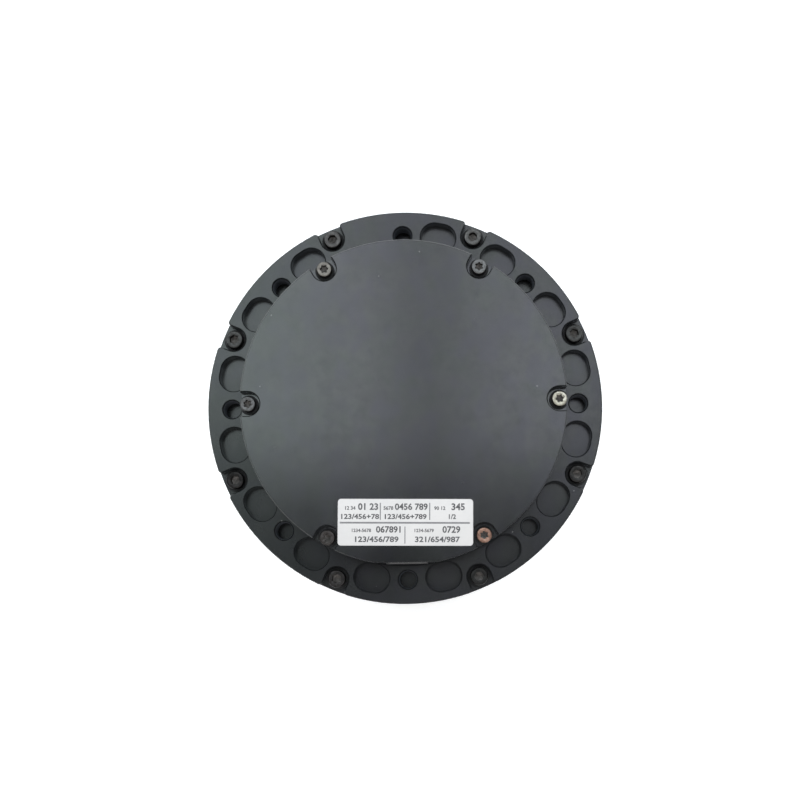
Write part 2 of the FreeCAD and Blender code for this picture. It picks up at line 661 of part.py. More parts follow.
def insulator(name, z0, z1):
    b = body(name)
    revolve(b, name + "_blank", [(33.1, z0), (39.6, z0), (39.6, z1), (33.1, z1)])
    s = new_sketch(b, name + "_slot_sketch", "XY_Plane", z1, 7.5)
    polygon(s, SLOT)
    g = pocket(b, name + "_slot", s, 0.4)
    pattern(b, name + "_slots", g, s, 24)


insulator("stator_insulator_front", d("core_z0") - 0.4, d("core_z0"))
insulator("stator_insulator_rear", d("core_z1"), d("core_z1") + 0.4)

coils = []
cz0, cz1 = val("core_z0") - val("coil_over"), val("core_z1") + val("coil_over")
for k in range(24):
    outer = box(33.9, 37.9, -3.9, 3.9, cz0, cz1)
    outer = outer.makeFillet(1.5, [e for e in outer.Edges if abs(e.tangentAt(e.FirstParameter).x) > 0.99])
    hole = box(33.0, 39.0, -2.1, 2.1, val("core_z0") - 0.45, val("core_z1") + 0.45)
    coils.append(spin(outer.cut(hole), 15.0 * k))
group("stator_coils", coils)

# three insulated motor leads: out under the rotor, up the wall, in to the board
leads = []
for off in (-2.35, 0.0, 2.35):
    path = [(35.4, 6.45), (45.35, 6.45), (45.35, 26.15), (35.45, 26.15), (35.45, 35.5)]
    rr = 1.4
    edges, prev = [], V(path[0][0], off, path[0][1])
    for i in range(1, len(path)):
        here = V(path[i][0], off, path[i][1])
        if i == len(path) - 1:
            edges.append(Part.makeLine(prev, here))
            break
        nxt = V(path[i + 1][0], off, path[i + 1][1])
        u = (here - V(path[i - 1][0], off, path[i - 1][1])).normalize()
        w = (nxt - here).normalize()
        a, b2 = here - u * rr, here + w * rr
        mid = here + (w - u) * rr * (1.0 - math.sqrt(0.5))
        edges.append(Part.makeLine(prev, a))
        edges.append(Part.Arc(a, mid, b2).toShape())
        prev = b2
    wire = Part.Wire(edges)
    prof = Part.Wire(Part.makeCircle(0.9, V(path[0][0], off, path[0][1]), V(1, 0, 0)))
    leads.append(spin(wire.makePipeShell([prof], True, False), LEAD_A))
group("phase_leads", leads)

race("rear_bearing_outer", 6.8, 8.0, 29.2, 33.2, 6.0, 1.1, 0.2)


# ------------------------------------------------------------------ fasteners
def socket_screw(x, y, seat, head_r, head_h, shank_r, length, key, key_d, turn):
    """Cylinder-head screw, its axis along Z, with a six-sided socket."""
    s = cyl(x, y, seat, seat + head_h, head_r)
    top = [e for e in s.Edges if hasattr(e.Curve, "Radius") and abs(e.CenterOfMass.z - seat - head_h) < 1e-6]
    s = s.makeChamfer(0.12 * head_r, top)
    s = s.fuse(cyl(x, y, seat - length, seat, shank_r))
    pts = []
    for k in range(7):
        a = math.radians(turn + 60.0 * k)
        pts.append(V(x + key / math.sqrt(3.0) * math.cos(a), y + key / math.sqrt(3.0) * math.sin(a),
                     seat + head_h - key_d))
    hexa = Part.Face(Part.makePolygon(pts)).extrude(V(0, 0, key_d + 0.1))
    return s.cut(hexa)


case_screws, cover_screws, case_washers, cover_washers = [], [], [], []
for k in range(8):
    x, y = polar(val("notch_pcd_r"), 22.5 + 45.0 * k)
    case_screws.append(socket_screw(x, y, val("ledge_z") + val("washer_t"), 2.2, 2.05, val("case_screw_r"), 10.4, 2.0, 1.2,
                                    13.0 * k))
    case_washers.append(cyl(x, y, val("ledge_z"), val("ledge_z") + val("washer_t"), 2.75).cut(
        cyl(x, y, val("ledge_z") - 1, val("ledge_z") + 1, val("case_screw_r") + 0.05)))
group("housing_screws", case_screws)
group("housing_washers", case_washers)
for k in range(6):
    x, y = polar(val("cover_pcd_r"), 60.0 * k)
    cover_screws.append(socket_screw(x, y, val("cover_ledge_z") + val("washer_t"), 1.85, 1.95, 1.0, 8.8, 1.5, 1.0, 17.0 * k))
    cover_washers.append(cyl(x, y, val("cover_ledge_z"), val("cover_ledge_z") + val("washer_t"), 2.35).cut(
        cyl(x, y, val("cover_ledge_z") - 1, val("cover_ledge_z") + 1, 1.05)).common(
        cyl(0, 0, val("seat_z"), val("cover_top_z"), val("cover_r") - 0.15)))
group("cover_screws", cover_screws)
group("cover_washers", cover_washers)
group("housing_dowels", [cyl(47.2, 0, 22.1, 27.9, 1.0), cyl(-47.2, 0, 22.1, 27.9, 1.0)])
pcb_top = val("pcb_z") + val("pcb_t")
group("board_screws", [socket_screw(polar(24.0, a)[0], polar(24.0, a)[1], pcb_top, 1.9, 1.2, 1.0, 5.0, 1.3, 0.7, a)
                       for a in (30.0, 150.0, 270.0)])

# -------------------------------------------------------------- electronics
pb = body("controller_board")
sk = new_sketch(pb, "board_sketch", "XY_Plane", d("pcb_z"))
circle(sk, 0.0, 0.0, d("pcb_r"))
pad(pb, "board_plate", sk, d("pcb_t"))
sk = new_sketch(pb, "board_notch_sketch", "XY_Plane", d("pcb_z") + d("pcb_t"))
ha = math.radians(val("cover_col_ang") + 1.0)
polygon(sk, [(32.6, -32.6 * math.tan(ha)), (40.0, -40.0 * math.tan(ha)), (40.0, 40.0 * math.tan(ha)),
             (32.6, 32.6 * math.tan(ha))])
f = pocket(pb, "board_notch", sk, d("pcb_t"))
pattern(pb, "board_notches", f, sk, 6)
sk = new_sketch(pb, "board_hole_sketch", "XY_Plane", d("pcb_z") + d("pcb_t"), 30.0)
circle(sk, 24.0, 0.0, 1.15)
f = pocket(pb, "board_hole", sk, d("pcb_t"))
pattern(pb, "board_holes", f, sk, 3)
pz, tz = val("pcb_z"), pcb_top
group("power_transistors", [box(x - 2.5, x + 2.5, 19.0, 25.0, tz, tz + 1.0)
                            for x in (-17.5, -10.5, -3.5, 3.5, 10.5, 17.5)])
group("thermal_pad", [box(-20.4, 20.4, 18.9, 25.1, tz + 1.0, val("cover_top_z") - val("cover_roof"))])
group("control_chips", [box(-15.5, -8.5, -6.0, 1.0, tz, tz + 0.9), box(7.0, 12.0, 3.0, 8.0, tz, tz + 0.9),
                        box(12.0, 17.0, -14.0, -10.0, tz, tz + 1.0), box(-3.2, 3.2, 9.0, 12.0, tz, tz + 0.7)])
group("encoder_chip", [box(-1.8, 1.8, -1.8, 1.8, pz - 0.8, pz)])
group("bulk_capacitors", [cyl(x, -15.5, pz - 4.3, pz, 2.5) for x in (-15.5, -8.5, 8.5, 15.5)])


def port_shell(w, y_mouth, y_back, z0, z1, cav_w, cav_z0, cav_z1, cav_d, corner):
    s = box(-w / 2, w / 2, y_mouth, y_back, z0, z1)
    s = s.makeChamfer(corner, [e for e in s.Edges if abs(e.tangentAt(e.FirstParameter).y) > 0.99
                               and e.CenterOfMass.x < 0])
    return s.cut(box(-cav_w / 2, cav_w / 2, y_mouth - 0.1, y_mouth + cav_d, cav_z0, cav_z1))


PY = -39.12
group("power_port", [port_shell(10.2, PY, -30.6, 31.15, pz, 8.5, 31.85, 34.9, 6.6, 0.9)])
group("power_pins", [Part.makeCylinder(1.0, 6.3, V(x, PY + 0.3, 33.37), V(0, 1, 0)) for x in (-2.5, 2.5)])


def signal_port(y_mouth, w):
    return port_shell(w, y_mouth, y_mouth + 4.8, 31.7, pz, w - 1.3, 32.5, 34.8, 3.4, 0.35)


def signal_pins(y_mouth, places):
    return [box(x - 0.22, x + 0.22, y_mouth + 0.6, y_mouth + 3.4, 33.45, 33.85) for x in places]


SY, EY = -36.6, -38.2
move = V(val("sig_x"), 0, 0)
pins = []
for name, sgn in (("signal_port_left", -1.0), ("signal_port_right", 1.0)):
    s = signal_port(SY, 5.8)
    s.translate(move * sgn)
    group(name, [s])
    for p in signal_pins(SY, (-0.625, 0.625)):
        p.translate(move * sgn)
        pins.append(p)
for name, a in (("side_port_left", -60.0), ("side_port_right", 60.0)):
    group(name, [spin(signal_port(EY, 6.8), a)])
    pins += [spin(p, a) for p in signal_pins(EY, (-1.25, 0.0, 1.25))]
group("port_pins", pins)

# ============================================================ OUTPUT CARRIER
oc = body("output_carrier")
revolve(oc, "carrier_turned", [
    (d("pilot_r"), 0.0), (d("flange_r"), 0.0), (d("flange_r"), d("flange_z")), (d("seat_r"), d("flange_z")),
    (d("seat_r"), 10.5), (21.7, 10.5), (21.7, 11.4), (22.3, 11.4), (22.3, d("plate_z")),
    (8.0, d("plate_z")), (8.0, 8.8), (6.5, 8.8), (6.5, 7.6), (0.0, 7.6), (0.0, d("pilot_d")),
    (d("pilot_r"), d("pilot_d"))])
dress(oc, "Chamfer", "flange_edge", 0.4, on_circle(val("flange_r"), 0.0))
dress(oc, "Chamfer", "pilot_edge", 0.4, on_circle(val("pilot_r"), 0.0))
sk = new_sketch(oc, "pillar_sketch", "XY_Plane", d("plate_z"), 30.0)
circle(sk, d("pillar_pcd_r"), 0.0, d("pillar_r"))
f = pad(oc, "pillar", sk, d("ring_z1") - d("plate_z"))
pattern(oc, "pillars", f, sk, 3)
sk = new_sketch(oc, "pillar_tap_sketch", "XY_Plane", d("ring_z1"), 30.0)
circle(sk, d("pillar_pcd_r"), 0.0, 1.52)
f = pocket(oc, "pillar_tap", sk, 8.5)
pattern(oc, "pillar_taps", f, sk, 3)
sk = new_sketch(oc, "pin_seat_sketch", "XY_Plane", d("plate_z"), 90.0)
circle(sk, d("orbit_r"), 0.0, d("pin_r"))
f = pocket(oc, "pin_seat", sk, 2.1)
pattern(oc, "pin_seats", f, sk, 3)
sk = new_sketch(oc, "out_tap_sketch", "XY_Plane", 0.0)
circle(sk, d("out_pcd_r"), 0.0, d("out_tap_r"))
f = pocket(oc, "out_tap", sk, d("out_tap_d"), up=True)
pattern(oc, "out_taps", f, sk, 6)
sk = new_sketch(oc, "out_dowel_sketch", "XY_Plane", 0.0, 30.0)
circle(sk, d("out_pcd_r"), 0.0, d("out_dowel_r"))
f = pocket(oc, "out_dowel", sk, 5.0, up=True)
pattern(oc, "out_dowels", f, sk, 2)

bp = body("carrier_back_plate")
revolve(bp, "back_plate_turned", [(7.0, d("ring_z1")), (22.0, d("ring_z1")), (22.0, d("back_z")), (7.0, d("back_z"))])
sk = new_sketch(bp, "back_pin_sketch", "XY_Plane", d("back_z"), 90.0)
circle(sk, d("orbit_r"), 0.0, d("pin_r"))
f = pocket(bp, "back_pin", sk, 2.6)
pattern(bp, "back_pins", f, sk, 3)
sk = new_sketch(bp, "back_screw_sketch", "XY_Plane", d("back_z"), 30.0)
circle(sk, d("pillar_pcd_r"), 0.0, 1.65)
f = pocket(bp, "back_screw", sk, 2.6)
pattern(bp, "back_screws", f, sk, 3)
sk = new_sketch(bp, "back_sink_sketch", "XY_Plane", d("back_z"), 30.0)
circle(sk, d("pillar_pcd_r"), 0.0, 2.95)
f = pocket(bp, "back_sink", sk, 1.7)
pattern(bp, "back_sinks", f, sk, 3)
group("carrier_screws", [socket_screw(polar(val("pillar_pcd_r"), a)[0], polar(val("pillar_pcd_r"), a)[1],
                                      22.9, 2.75, 1.6, 1.5, 8.0, 2.0, 1.0, a) for a in (30.0, 150.0, 270.0)])
group("planet_pins", [cyl(polar(val("orbit_r"), a)[0], polar(val("orbit_r"), a)[1], 10.95, 24.5, val("pin_r"))
                      for a in (90.0, 210.0, 330.0)])
wash = []
for a in (90.0, 210.0, 330.0):
    x, y = polar(val("orbit_r"), a)
    for z in (13.0, 21.5):
        wash.append(cyl(x, y, z, z + 0.5, 6.4).cut(cyl(x, y, z, z + 0.5, val("pin_r"))))
group("planet_washers", wash)
race("output_bearing_inner", 22.5, 24.7, 3.5, 10.5, 25.75, 1.6)
balls("output_bearing_balls", 26, 25.75, 7.0, 1.6)
snap("carrier_clip", 21.75, 23.7, 10.52, 11.32, 26.0)
race("front_bearing_outer", 6.8, 8.0, 8.8, 12.8, 6.0, 1.1, 0.2)

# ============================================================ PLANETS
PLANET_W = 1.0819 - BACKLASH
for n, ang in enumerate((90.0, 210.0, 330.0), start=1):
    g = body("planet_gear_%d" % n)
    width = d("gear_z1") - d("gear_z0")
    sk = new_sketch(g, "planet_%d_blank_sketch" % n, "XY_Plane")
    circle(sk, 0.0, 0.0, 10.16)
    circle(sk, 0.0, 0.0, d("bush_r"))
    pad(g, "planet_%d_blank" % n, sk, width)
    # a gap looks at the sun, so the opposite one looks at the ring
    sk = gap_sketch(g, "planet_%d_gap_sketch" % n, 24, PLANET_W, 8.36, 10.16, True, width, 0.0)
    f = pocket(g, "planet_%d_gap" % n, sk, width)
    pattern(g, "planet_%d_teeth" % n, f, sk, 24)
    x, y = polar(val("orbit_r"), ang)
    where = FreeCAD.Placement(V(x, y, val("gear_z0")), FreeCAD.Rotation(V(0, 0, 1), ang + 180.0))
    g.Placement = where
    b = body("planet_bush_%d" % n)
    sk = new_sketch(b, "bush_%d_sketch" % n, "XY_Plane")
    circle(sk, 0.0, 0.0, d("bush_r"))
    circle(sk, 0.0, 0.0, d("pin_r") + 0.05)
    pad(b, "bush_%d" % n, sk, width)
    b.Placement = where
    for ob in (g, b):
        ob.setExpression("Placement.Base.x", "dims.orbit_r * cos(%g deg)" % ang)
        ob.setExpression("Placement.Base.y", "dims.orbit_r * sin(%g deg)" % ang)
        ob.setExpression("Placement.Base.z", "dims.gear_z0")

# ============================================================ ROTOR
rs = body("rotor_shaft")
sr = d("shaft_r")
revolve(rs, "shaft_turned", [
    (0.0, 8.2), (sr - 0.3, 8.2), (sr, 8.5), (sr, 12.8), (5.0, 12.8), (5.0, d("sun_z0")), (5.84, d("sun_z0")),
    (5.84, d("sun_z1")), (5.0, d("sun_z1")), (5.0, d("hub_in_z")), (sr, d("hub_in_z")), (sr, 33.4),
    (3.0, 33.4), (3.0, 32.2), (0.0, 32.2)])
SUN_W = 1.4313 - BACKLASH
sk = gap_sketch(rs, "sun_gap_sketch", 12, SUN_W, 4.04, 5.84, True, d("sun_z1"), 15.0)
f = pocket(rs, "sun_gap", sk, d("sun_z1") - d("sun_z0"))
pattern(rs, "sun_teeth", f, sk, 12)

hb = body("rotor_hub")
revolve(hb, "hub_turned", [
    (sr, d("hub_in_z")), (31.8, d("hub_in_z")), (31.8, d("hub_z")), (d("rim_r"), d("hub_z")),
    (d("rim_r"), d("hub_z") + d("hub_t")), (33.4, d("hub_z") + d("hub_t")), (33.4, d("hub_in_z") + 1.6),
    (8.0, d("hub_in_z") + 1.6), (8.0, 27.9), (5.2, 27.9), (5.2, 29.2), (sr, 29.2)])
sk = new_sketch(hb, "hub_hole_sketch", "XY_Plane", d("hub_in_z") + 1.6)
circle(sk, 19.5, 0.0, 6.2)
f = pocket(hb, "hub_hole", sk, 1.8)
pattern(hb, "hub_holes", f, sk, 6)

ring("rotor_rim", d("rim_in_r"), d("rim_r"), d("rim_z0"), d("hub_z"))
mags = []
half = 360.0 / 28 / 2 - 0.45
for k in range(28):
    blk = Part.makeCylinder(val("rim_in_r"), 11.4, V(0, 0, 8.8), V(0, 0, 1), 2 * half)
    blk = blk.cut(Part.makeCylinder(val("magnet_r"), 11.4, V(0, 0, 8.8)))
    mags.append(spin(blk, 360.0 / 28 * k - half))
group("rotor_magnets", mags)
for where, z0 in (("front", 8.8), ("rear", 29.2)):
    race("%s_bearing_inner" % where, sr, 5.2, z0, z0 + 4.0, 6.0, 1.1, 0.2)
    balls("%s_bearing_balls" % where, 9, 6.0, z0 + 2.0, 1.1)
group("encoder_magnet", [cyl(0, 0, 32.2, 34.2, 3.0)])

# ---------------------------------------------------------------- write out
doc.recompute()
os.makedirs("parts", exist_ok=True)
for ob in doc.Objects:
    if any(s in ("Invalid", "Error") for s in ob.State):
        raise RuntimeError("%s: %s" % (ob.Name, ob.State))
for ob in NODES:
    s = ob.Shape
    if s.isNull() or not s.isValid() or s.Volume <= 0 or not s.Solids:
        raise RuntimeError("bad shape: " + ob.Label)
for ob in NODES:
    ob.Shape.exportStep("parts/%s.step" % ob.Label)
    print("%-26s solids %3d  volume %10.1f  z %6.2f..%6.2f" % (
        ob.Label, len(ob.Shape.Solids), ob.Shape.Volume, ob.Shape.BoundBox.ZMin, ob.Shape.BoundBox.ZMax))
print(len(NODES), "nodes")
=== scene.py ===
import bpy
import json
import math
import random
from mathutils import Matrix, Vector


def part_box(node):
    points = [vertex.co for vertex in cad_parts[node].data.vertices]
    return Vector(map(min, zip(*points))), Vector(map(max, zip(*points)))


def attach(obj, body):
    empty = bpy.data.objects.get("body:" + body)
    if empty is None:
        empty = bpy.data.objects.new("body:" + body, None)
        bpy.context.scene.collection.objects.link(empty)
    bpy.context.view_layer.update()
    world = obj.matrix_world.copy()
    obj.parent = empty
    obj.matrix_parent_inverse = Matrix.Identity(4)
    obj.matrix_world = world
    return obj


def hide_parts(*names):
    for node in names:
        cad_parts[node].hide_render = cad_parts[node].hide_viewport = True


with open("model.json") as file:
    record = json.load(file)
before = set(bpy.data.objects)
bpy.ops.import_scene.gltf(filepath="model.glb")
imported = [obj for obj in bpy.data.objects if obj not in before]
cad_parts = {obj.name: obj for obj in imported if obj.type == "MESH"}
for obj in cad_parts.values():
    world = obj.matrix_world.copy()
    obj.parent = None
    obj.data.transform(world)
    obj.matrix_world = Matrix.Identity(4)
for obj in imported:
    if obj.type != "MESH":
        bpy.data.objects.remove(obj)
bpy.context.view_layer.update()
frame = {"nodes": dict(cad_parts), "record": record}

nodes = frame["nodes"]
scene = bpy.context.scene
MM = 0.001
RNG = random.Random(7)


# =============================================================== node helpers
class Mat:
    """A principled material whose pattern lives in the object's own metres."""

    def __init__(self, name, metallic=0.0, ior=1.5, specular=0.5):
        self.m = bpy.data.materials.new(name)
        self.m.use_nodes = True
        self.nt = self.m.node_tree
        self.nt.nodes.clear()
        out = self.node("ShaderNodeOutputMaterial")
        self.bs = self.node("ShaderNodeBsdfPrincipled")
        self.link(self.bs.outputs["BSDF"], out.inputs["Surface"])
        self.bs.inputs["Metallic"].default_value = metallic
        self.bs.inputs["IOR"].default_value = ior
        self.bs.inputs["Specular IOR Level"].default_value = specular
        self.obj = self.node("ShaderNodeTexCoord").outputs["Object"]

    def node(self, kind):
        return self.nt.nodes.new(kind)

    def link(self, a, b):
        self.nt.links.new(a, b)

    def put(self, sock, v):
        if isinstance(v, (int, float)):
            sock.default_value = v
        elif isinstance(v, tuple):
            sock.default_value = v if len(v) == len(sock.default_value) else v + (1.0,)
        else:
            self.link(v, sock)

    def math(self, op, a, b=0.0, c=None):
        n = self.node("ShaderNodeMath")
        n.operation = op
        self.put(n.inputs[0], a)
        self.put(n.inputs[1], b)
        if c is not None:
            self.put(n.inputs[2], c)
        return n.outputs[0]

    def span(self, v, a0, a1, b0, b1):
        n = self.node("ShaderNodeMapRange")
        self.put(n.inputs["Value"], v)
        n.inputs["From Min"].default_value = a0
        n.inputs["From Max"].default_value = a1
        n.inputs["To Min"].default_value = b0
        n.inputs["To Max"].default_value = b1
        return n.outputs["Result"]

    def noise(self, scale, detail=3.0, rough=0.55, vec=None, distort=0.0):
        n = self.node("ShaderNodeTexNoise")
        n.inputs["Scale"].default_value = scale
        n.inputs["Detail"].default_value = detail
        n.inputs["Roughness"].default_value = rough
        n.inputs["Distortion"].default_value = distort
        self.link(vec if vec is not None else self.obj, n.inputs["Vector"])
        return n.outputs["Fac"]

    def stretch(self, sx, sy, sz):
        n = self.node("ShaderNodeMapping")
        self.link(self.obj, n.inputs["Vector"])
        n.inputs["Scale"].default_value = (sx, sy, sz)
        return n.outputs["Vector"]

    def xyz(self):
        n = self.node("ShaderNodeSeparateXYZ")
        self.link(self.obj, n.inputs[0])
        return n.outputs

    def axis_distance(self, cx=0.0, cy=0.0):
        x, y, _ = self.xyz()
        dx, dy = self.math("SUBTRACT", x, cx), self.math("SUBTRACT", y, cy)
        return self.math("SQRT", self.math("ADD", self.math("MULTIPLY", dx, dx), self.math("MULTIPLY", dy, dy)))

    def ring_noise(self, scale, detail=2.0, along=0.0):
        """Noise that only changes with distance from the axis, and slightly with height."""
        r = self.axis_distance()
        n = self.node("ShaderNodeCombineXYZ")
        self.link(r, n.inputs[0])
        if along:
            self.link(self.math("MULTIPLY", self.xyz()[2], along), n.inputs[1])
        return self.noise(scale, detail, 0.6, n.outputs[0])

    def mix(self, fac, a, b):
        n = self.node("ShaderNodeMix")
        n.data_type = "RGBA"
        self.put(n.inputs[0], fac)
        self.put(n.inputs[6], a)
        self.put(n.inputs[7], b)
        return n.outputs[2]

    def edges(self, radius, lo=0.02, hi=0.22):
        """1 on outer edges, 0 on flats, from the angle between rounded and true normals."""
        bev = self.node("ShaderNodeBevel")
        bev.samples = 4
        bev.inputs["Radius"].default_value = radius
        geo = self.node("ShaderNodeNewGeometry")
        dot = self.node("ShaderNodeVectorMath")
        dot.operation = "DOT_PRODUCT"
        self.link(bev.outputs[0], dot.inputs[0])
        self.link(geo.outputs["Normal"], dot.inputs[1])
        return self.span(self.math("SUBTRACT", 1.0, dot.outputs["Value"]), lo, hi, 0.0, 1.0)

    def soft_edges(self, radius):
        bev = self.node("ShaderNodeBevel")
        bev.samples = 4
        bev.inputs["Radius"].default_value = radius
        return bev.outputs[0]

    def bump(self, height, strength, distance, normal=None):
        n = self.node("ShaderNodeBump")
        n.inputs["Strength"].default_value = strength
        n.inputs["Distance"].default_value = distance
        self.put(n.inputs["Height"], height)
        if normal is not None:
            self.link(normal, n.inputs["Normal"])
        return n.outputs[0]

    def done(self, color, rough, normal=None):
        self.put(self.bs.inputs["Base Color"], color)
        self.put(self.bs.inputs["Roughness"], rough)
        if normal is not None:
            self.link(normal, self.bs.inputs["Normal"])
        return self.m


def anodised(name, base, lift, rough, grain, round_r=0.00012, wear_gain=0.12, gloss=0.5, rim=0.8,
             painted_shade_patch=(0.0, 0.0, 0.0, 0.001, 1.0)):
    """Black anodised, bead-blasted aluminium: cloudy dye, oily tinted patches, fine grain; painted light on pocket
    walls, painted shade along edges, in one patch and towards the left side.
    """
    k = Mat(name, metallic=0.0, ior=1.52, specular=gloss)
    patch = k.noise(62.0, 3.0, 0.6, distort=0.4)
    hue = k.noise(105.0, 2.0, 0.5, k.stretch(1.0, 0.8, 1.3))
    green = k.noise(80.0, 2.0, 0.5, k.stretch(0.8, 1.0, 1.0), 0.7)
    cloud = k.noise(260.0, 4.0, 0.6)
    mottle = k.noise(900.0, 3.0, 0.6)
    fine = k.noise(3400.0, 2.0, 0.7)
    col = k.mix(k.span(patch, 0.35, 0.65, 0.0, 1.0), base, lift)
    col = k.mix(k.span(cloud, 0.35, 0.7, 0.0, 0.35), col, tuple(0.6 * c for c in base))
    wear = k.math("MULTIPLY", k.edges(0.00014), k.span(k.noise(900.0, 3.0), 0.40, 0.7, 0.0, wear_gain))
    col = k.mix(wear, col, (0.085, 0.088, 0.09))
    film = k.mix(k.span(hue, 0.44, 0.56, 0.0, 0.9), (1.0, 1.0, 1.0), (0.95, 0.90, 1.0))
    film = k.mix(k.span(green, 0.46, 0.58, 0.0, 0.8), film, (0.91, 1.0, 0.90))
    film = k.mix(k.span(cloud, 0.36, 0.68, 0.0, 0.80), film, (0.80, 0.81, 0.83))
    speck = k.noise(1300.0, 4.0, 0.8)
    film = k.mix(k.span(speck, 0.40, 0.64, 0.0, 0.75), film, (0.77, 0.78, 0.80))
    film = k.mix(k.span(k.noise(640.0, 3.0, 0.7), 0.38, 0.64, 0.75, 0.0), film, (1.0, 1.0, 1.0))
    blush = k.noise(190.0, 2.0, 0.5, k.stretch(1.0, 0.7, 1.0), 0.5)
    film = k.mix(k.span(blush, 0.46, 0.60, 0.0, 0.6), film, (0.90, 0.88, 1.0))
    # painted shade: the reflection is darkened along every edge and pocket mouth, a dark outline standing in for the
    # shade there
    film = k.mix(k.math("MULTIPLY", k.edges(0.00034, 0.012, 0.10), rim), film, (0.10, 0.10, 0.11))
    # painted shade: the reflection is darkened in one round patch, centre (sx, sy), full inside s0 and fading out by
    # s1, keeping the given share
    sx, sy, s0, s1, keep = painted_shade_patch
    near = k.span(k.axis_distance(sx, sy), s0, s1, 1.0, 0.0)
    film = k.mix(near, film, k.mix(1.0 - keep, film, (0.0, 0.0, 0.0)))
    x, y, z = k.xyz()
    # painted shade: the reflection is dimmed and tinted green towards the left side (negative x)
    film = k.mix(k.span(x, -0.036, -0.010, 0.42, 0.0), film, (0.86, 1.0, 0.90))
    k.link(film, k.bs.inputs["Specular Tint"])
    # painted light: faces that look sideways, inside the outer rim, get a lighter colour than the flats
    up = k.node("ShaderNodeSeparateXYZ")
    k.link(k.node("ShaderNodeNewGeometry").outputs["Normal"], up.inputs[0])
    wall_painted_light = k.math("MULTIPLY", k.span(k.math("ABSOLUTE", up.outputs[2]), 0.30, 0.60, 1.0, 0.0),
                  k.span(k.axis_distance(), 0.0484, 0.0488, 1.0, 0.0))
    col = k.mix(wall_painted_light, col, k.mix(k.span(cloud, 0.35, 0.7, 0.0, 0.4), (0.030, 0.034, 0.039), (0.022, 0.025, 0.029)))
    cell = k.node("ShaderNodeTexVoronoi")
    cell.inputs["Scale"].default_value = 210.0
    k.link(k.obj, cell.inputs["Vector"])
    dust = k.math("MULTIPLY", k.span(cell.outputs["Distance"], 0.020, 0.052, 1.0, 0.0),
                  k.span(k.noise(130.0, 2.0), 0.50, 0.58, 0.0, 0.6))
    col = k.mix(dust, col, (0.16, 0.16, 0.155))
    scuff = k.noise(55.0, 5.0, 0.75, k.stretch(1.0, 0.30, 1.0), 1.0)
    r = k.math("ADD", k.span(scuff, 0.3, 0.75, rough - 0.025, rough + 0.035),
               k.span(cloud, 0.3, 0.7, -0.015, 0.020))
    n = k.bump(fine, 0.32, grain, k.soft_edges(round_r))
    n = k.bump(mottle, 0.12, grain * 1.2, n)
    n = k.bump(patch, 0.6, 0.000014, n)
    return k.done(col, r, n)


def turned_metal(name, base, dark, rough, ridge=0.0000022, metallic=1.0, tint=None):
    """Lathe-turned metal: fine concentric tool marks, faint haze."""
    k = Mat(name, metallic=metallic)
    rings = k.ring_noise(5200.0, 2.0, 3.0)
    wide = k.ring_noise(700.0, 3.0)
    haze = k.noise(120.0, 4.0, 0.6)
    col = k.mix(k.span(rings, 0.3, 0.7, 0.0, 0.5), base, dark)
    col = k.mix(k.span(haze, 0.35, 0.75, 0.0, 0.35), col, tint or dark)
    edge = k.math("MULTIPLY", k.edges(0.00015), 0.5)
    col = k.mix(edge, col, tuple(min(1.0, 1.25 * c) for c in base))
    r = k.math("ADD", k.span(wide, 0.3, 0.7, rough - 0.05, rough + 0.06), k.span(haze, 0.3, 0.7, -0.03, 0.05))
    n = k.bump(rings, 0.35, ridge, k.soft_edges(0.0001))
    return k.done(col, r, n)


def ground_metal(name, base, dark, rough, scale=1500.0, metallic=1.0):
    """Ground or hobbed steel: short random scratches and an oily haze."""
    k = Mat(name, metallic=metallic)
    lines = k.noise(scale, 3.0, 0.7, k.stretch(1.0, 1.0, 0.08))
    cross = k.noise(scale * 0.5, 3.0, 0.7, k.stretch(0.1, 1.0, 1.0))
    haze = k.noise(160.0, 4.0, 0.65)
    col = k.mix(k.span(lines, 0.35, 0.7, 0.0, 0.55), base, dark)
    col = k.mix(k.span(haze, 0.4, 0.75, 0.0, 0.4), col, tuple(0.75 * c for c in dark))
    r = k.math("ADD", k.span(haze, 0.3, 0.7, rough - 0.06, rough + 0.08), k.span(cross, 0.3, 0.7, -0.04, 0.04))
    n = k.bump(lines, 0.25, 0.0000018, k.soft_edges(0.00008))
    return k.done(col, r, n)


def screw_steel(name, base, stain, rough, amount, seed):
    """Small screw: plated or oxidised steel with stains and handling marks."""
    k = Mat(name, metallic=1.0)
    shift = k.node("ShaderNodeVectorMath")
    shift.operation = "ADD"
    k.link(k.obj, shift.inputs[0])
    shift.inputs[1].default_value = (0.013 * seed, 0.007 * seed, 0.0)
    v = shift.outputs[0]
    blot = k.noise(900.0, 4.0, 0.7, v, 0.8)
    fine = k.noise(7000.0, 3.0, 0.6, v)
    col = k.mix(k.span(blot, 0.4, 0.62, 0.0, amount), base, stain)
    col = k.mix(k.span(fine, 0.4, 0.75, 0.0, 0.35), col, tuple(0.6 * c for c in base))
    edge = k.math("MULTIPLY", k.edges(0.00009), 0.6)
    col = k.mix(edge, col, tuple(min(1.0, 1.5 * c + 0.02) for c in base))
    r = k.math("ADD", k.span(blot, 0.3, 0.7, rough - 0.06, rough + 0.1), k.span(fine, 0.3, 0.7, -0.05, 0.06))
    n = k.bump(fine, 0.35, 0.0000035, k.soft_edges(0.00007))
    return k.done(col, r, n)


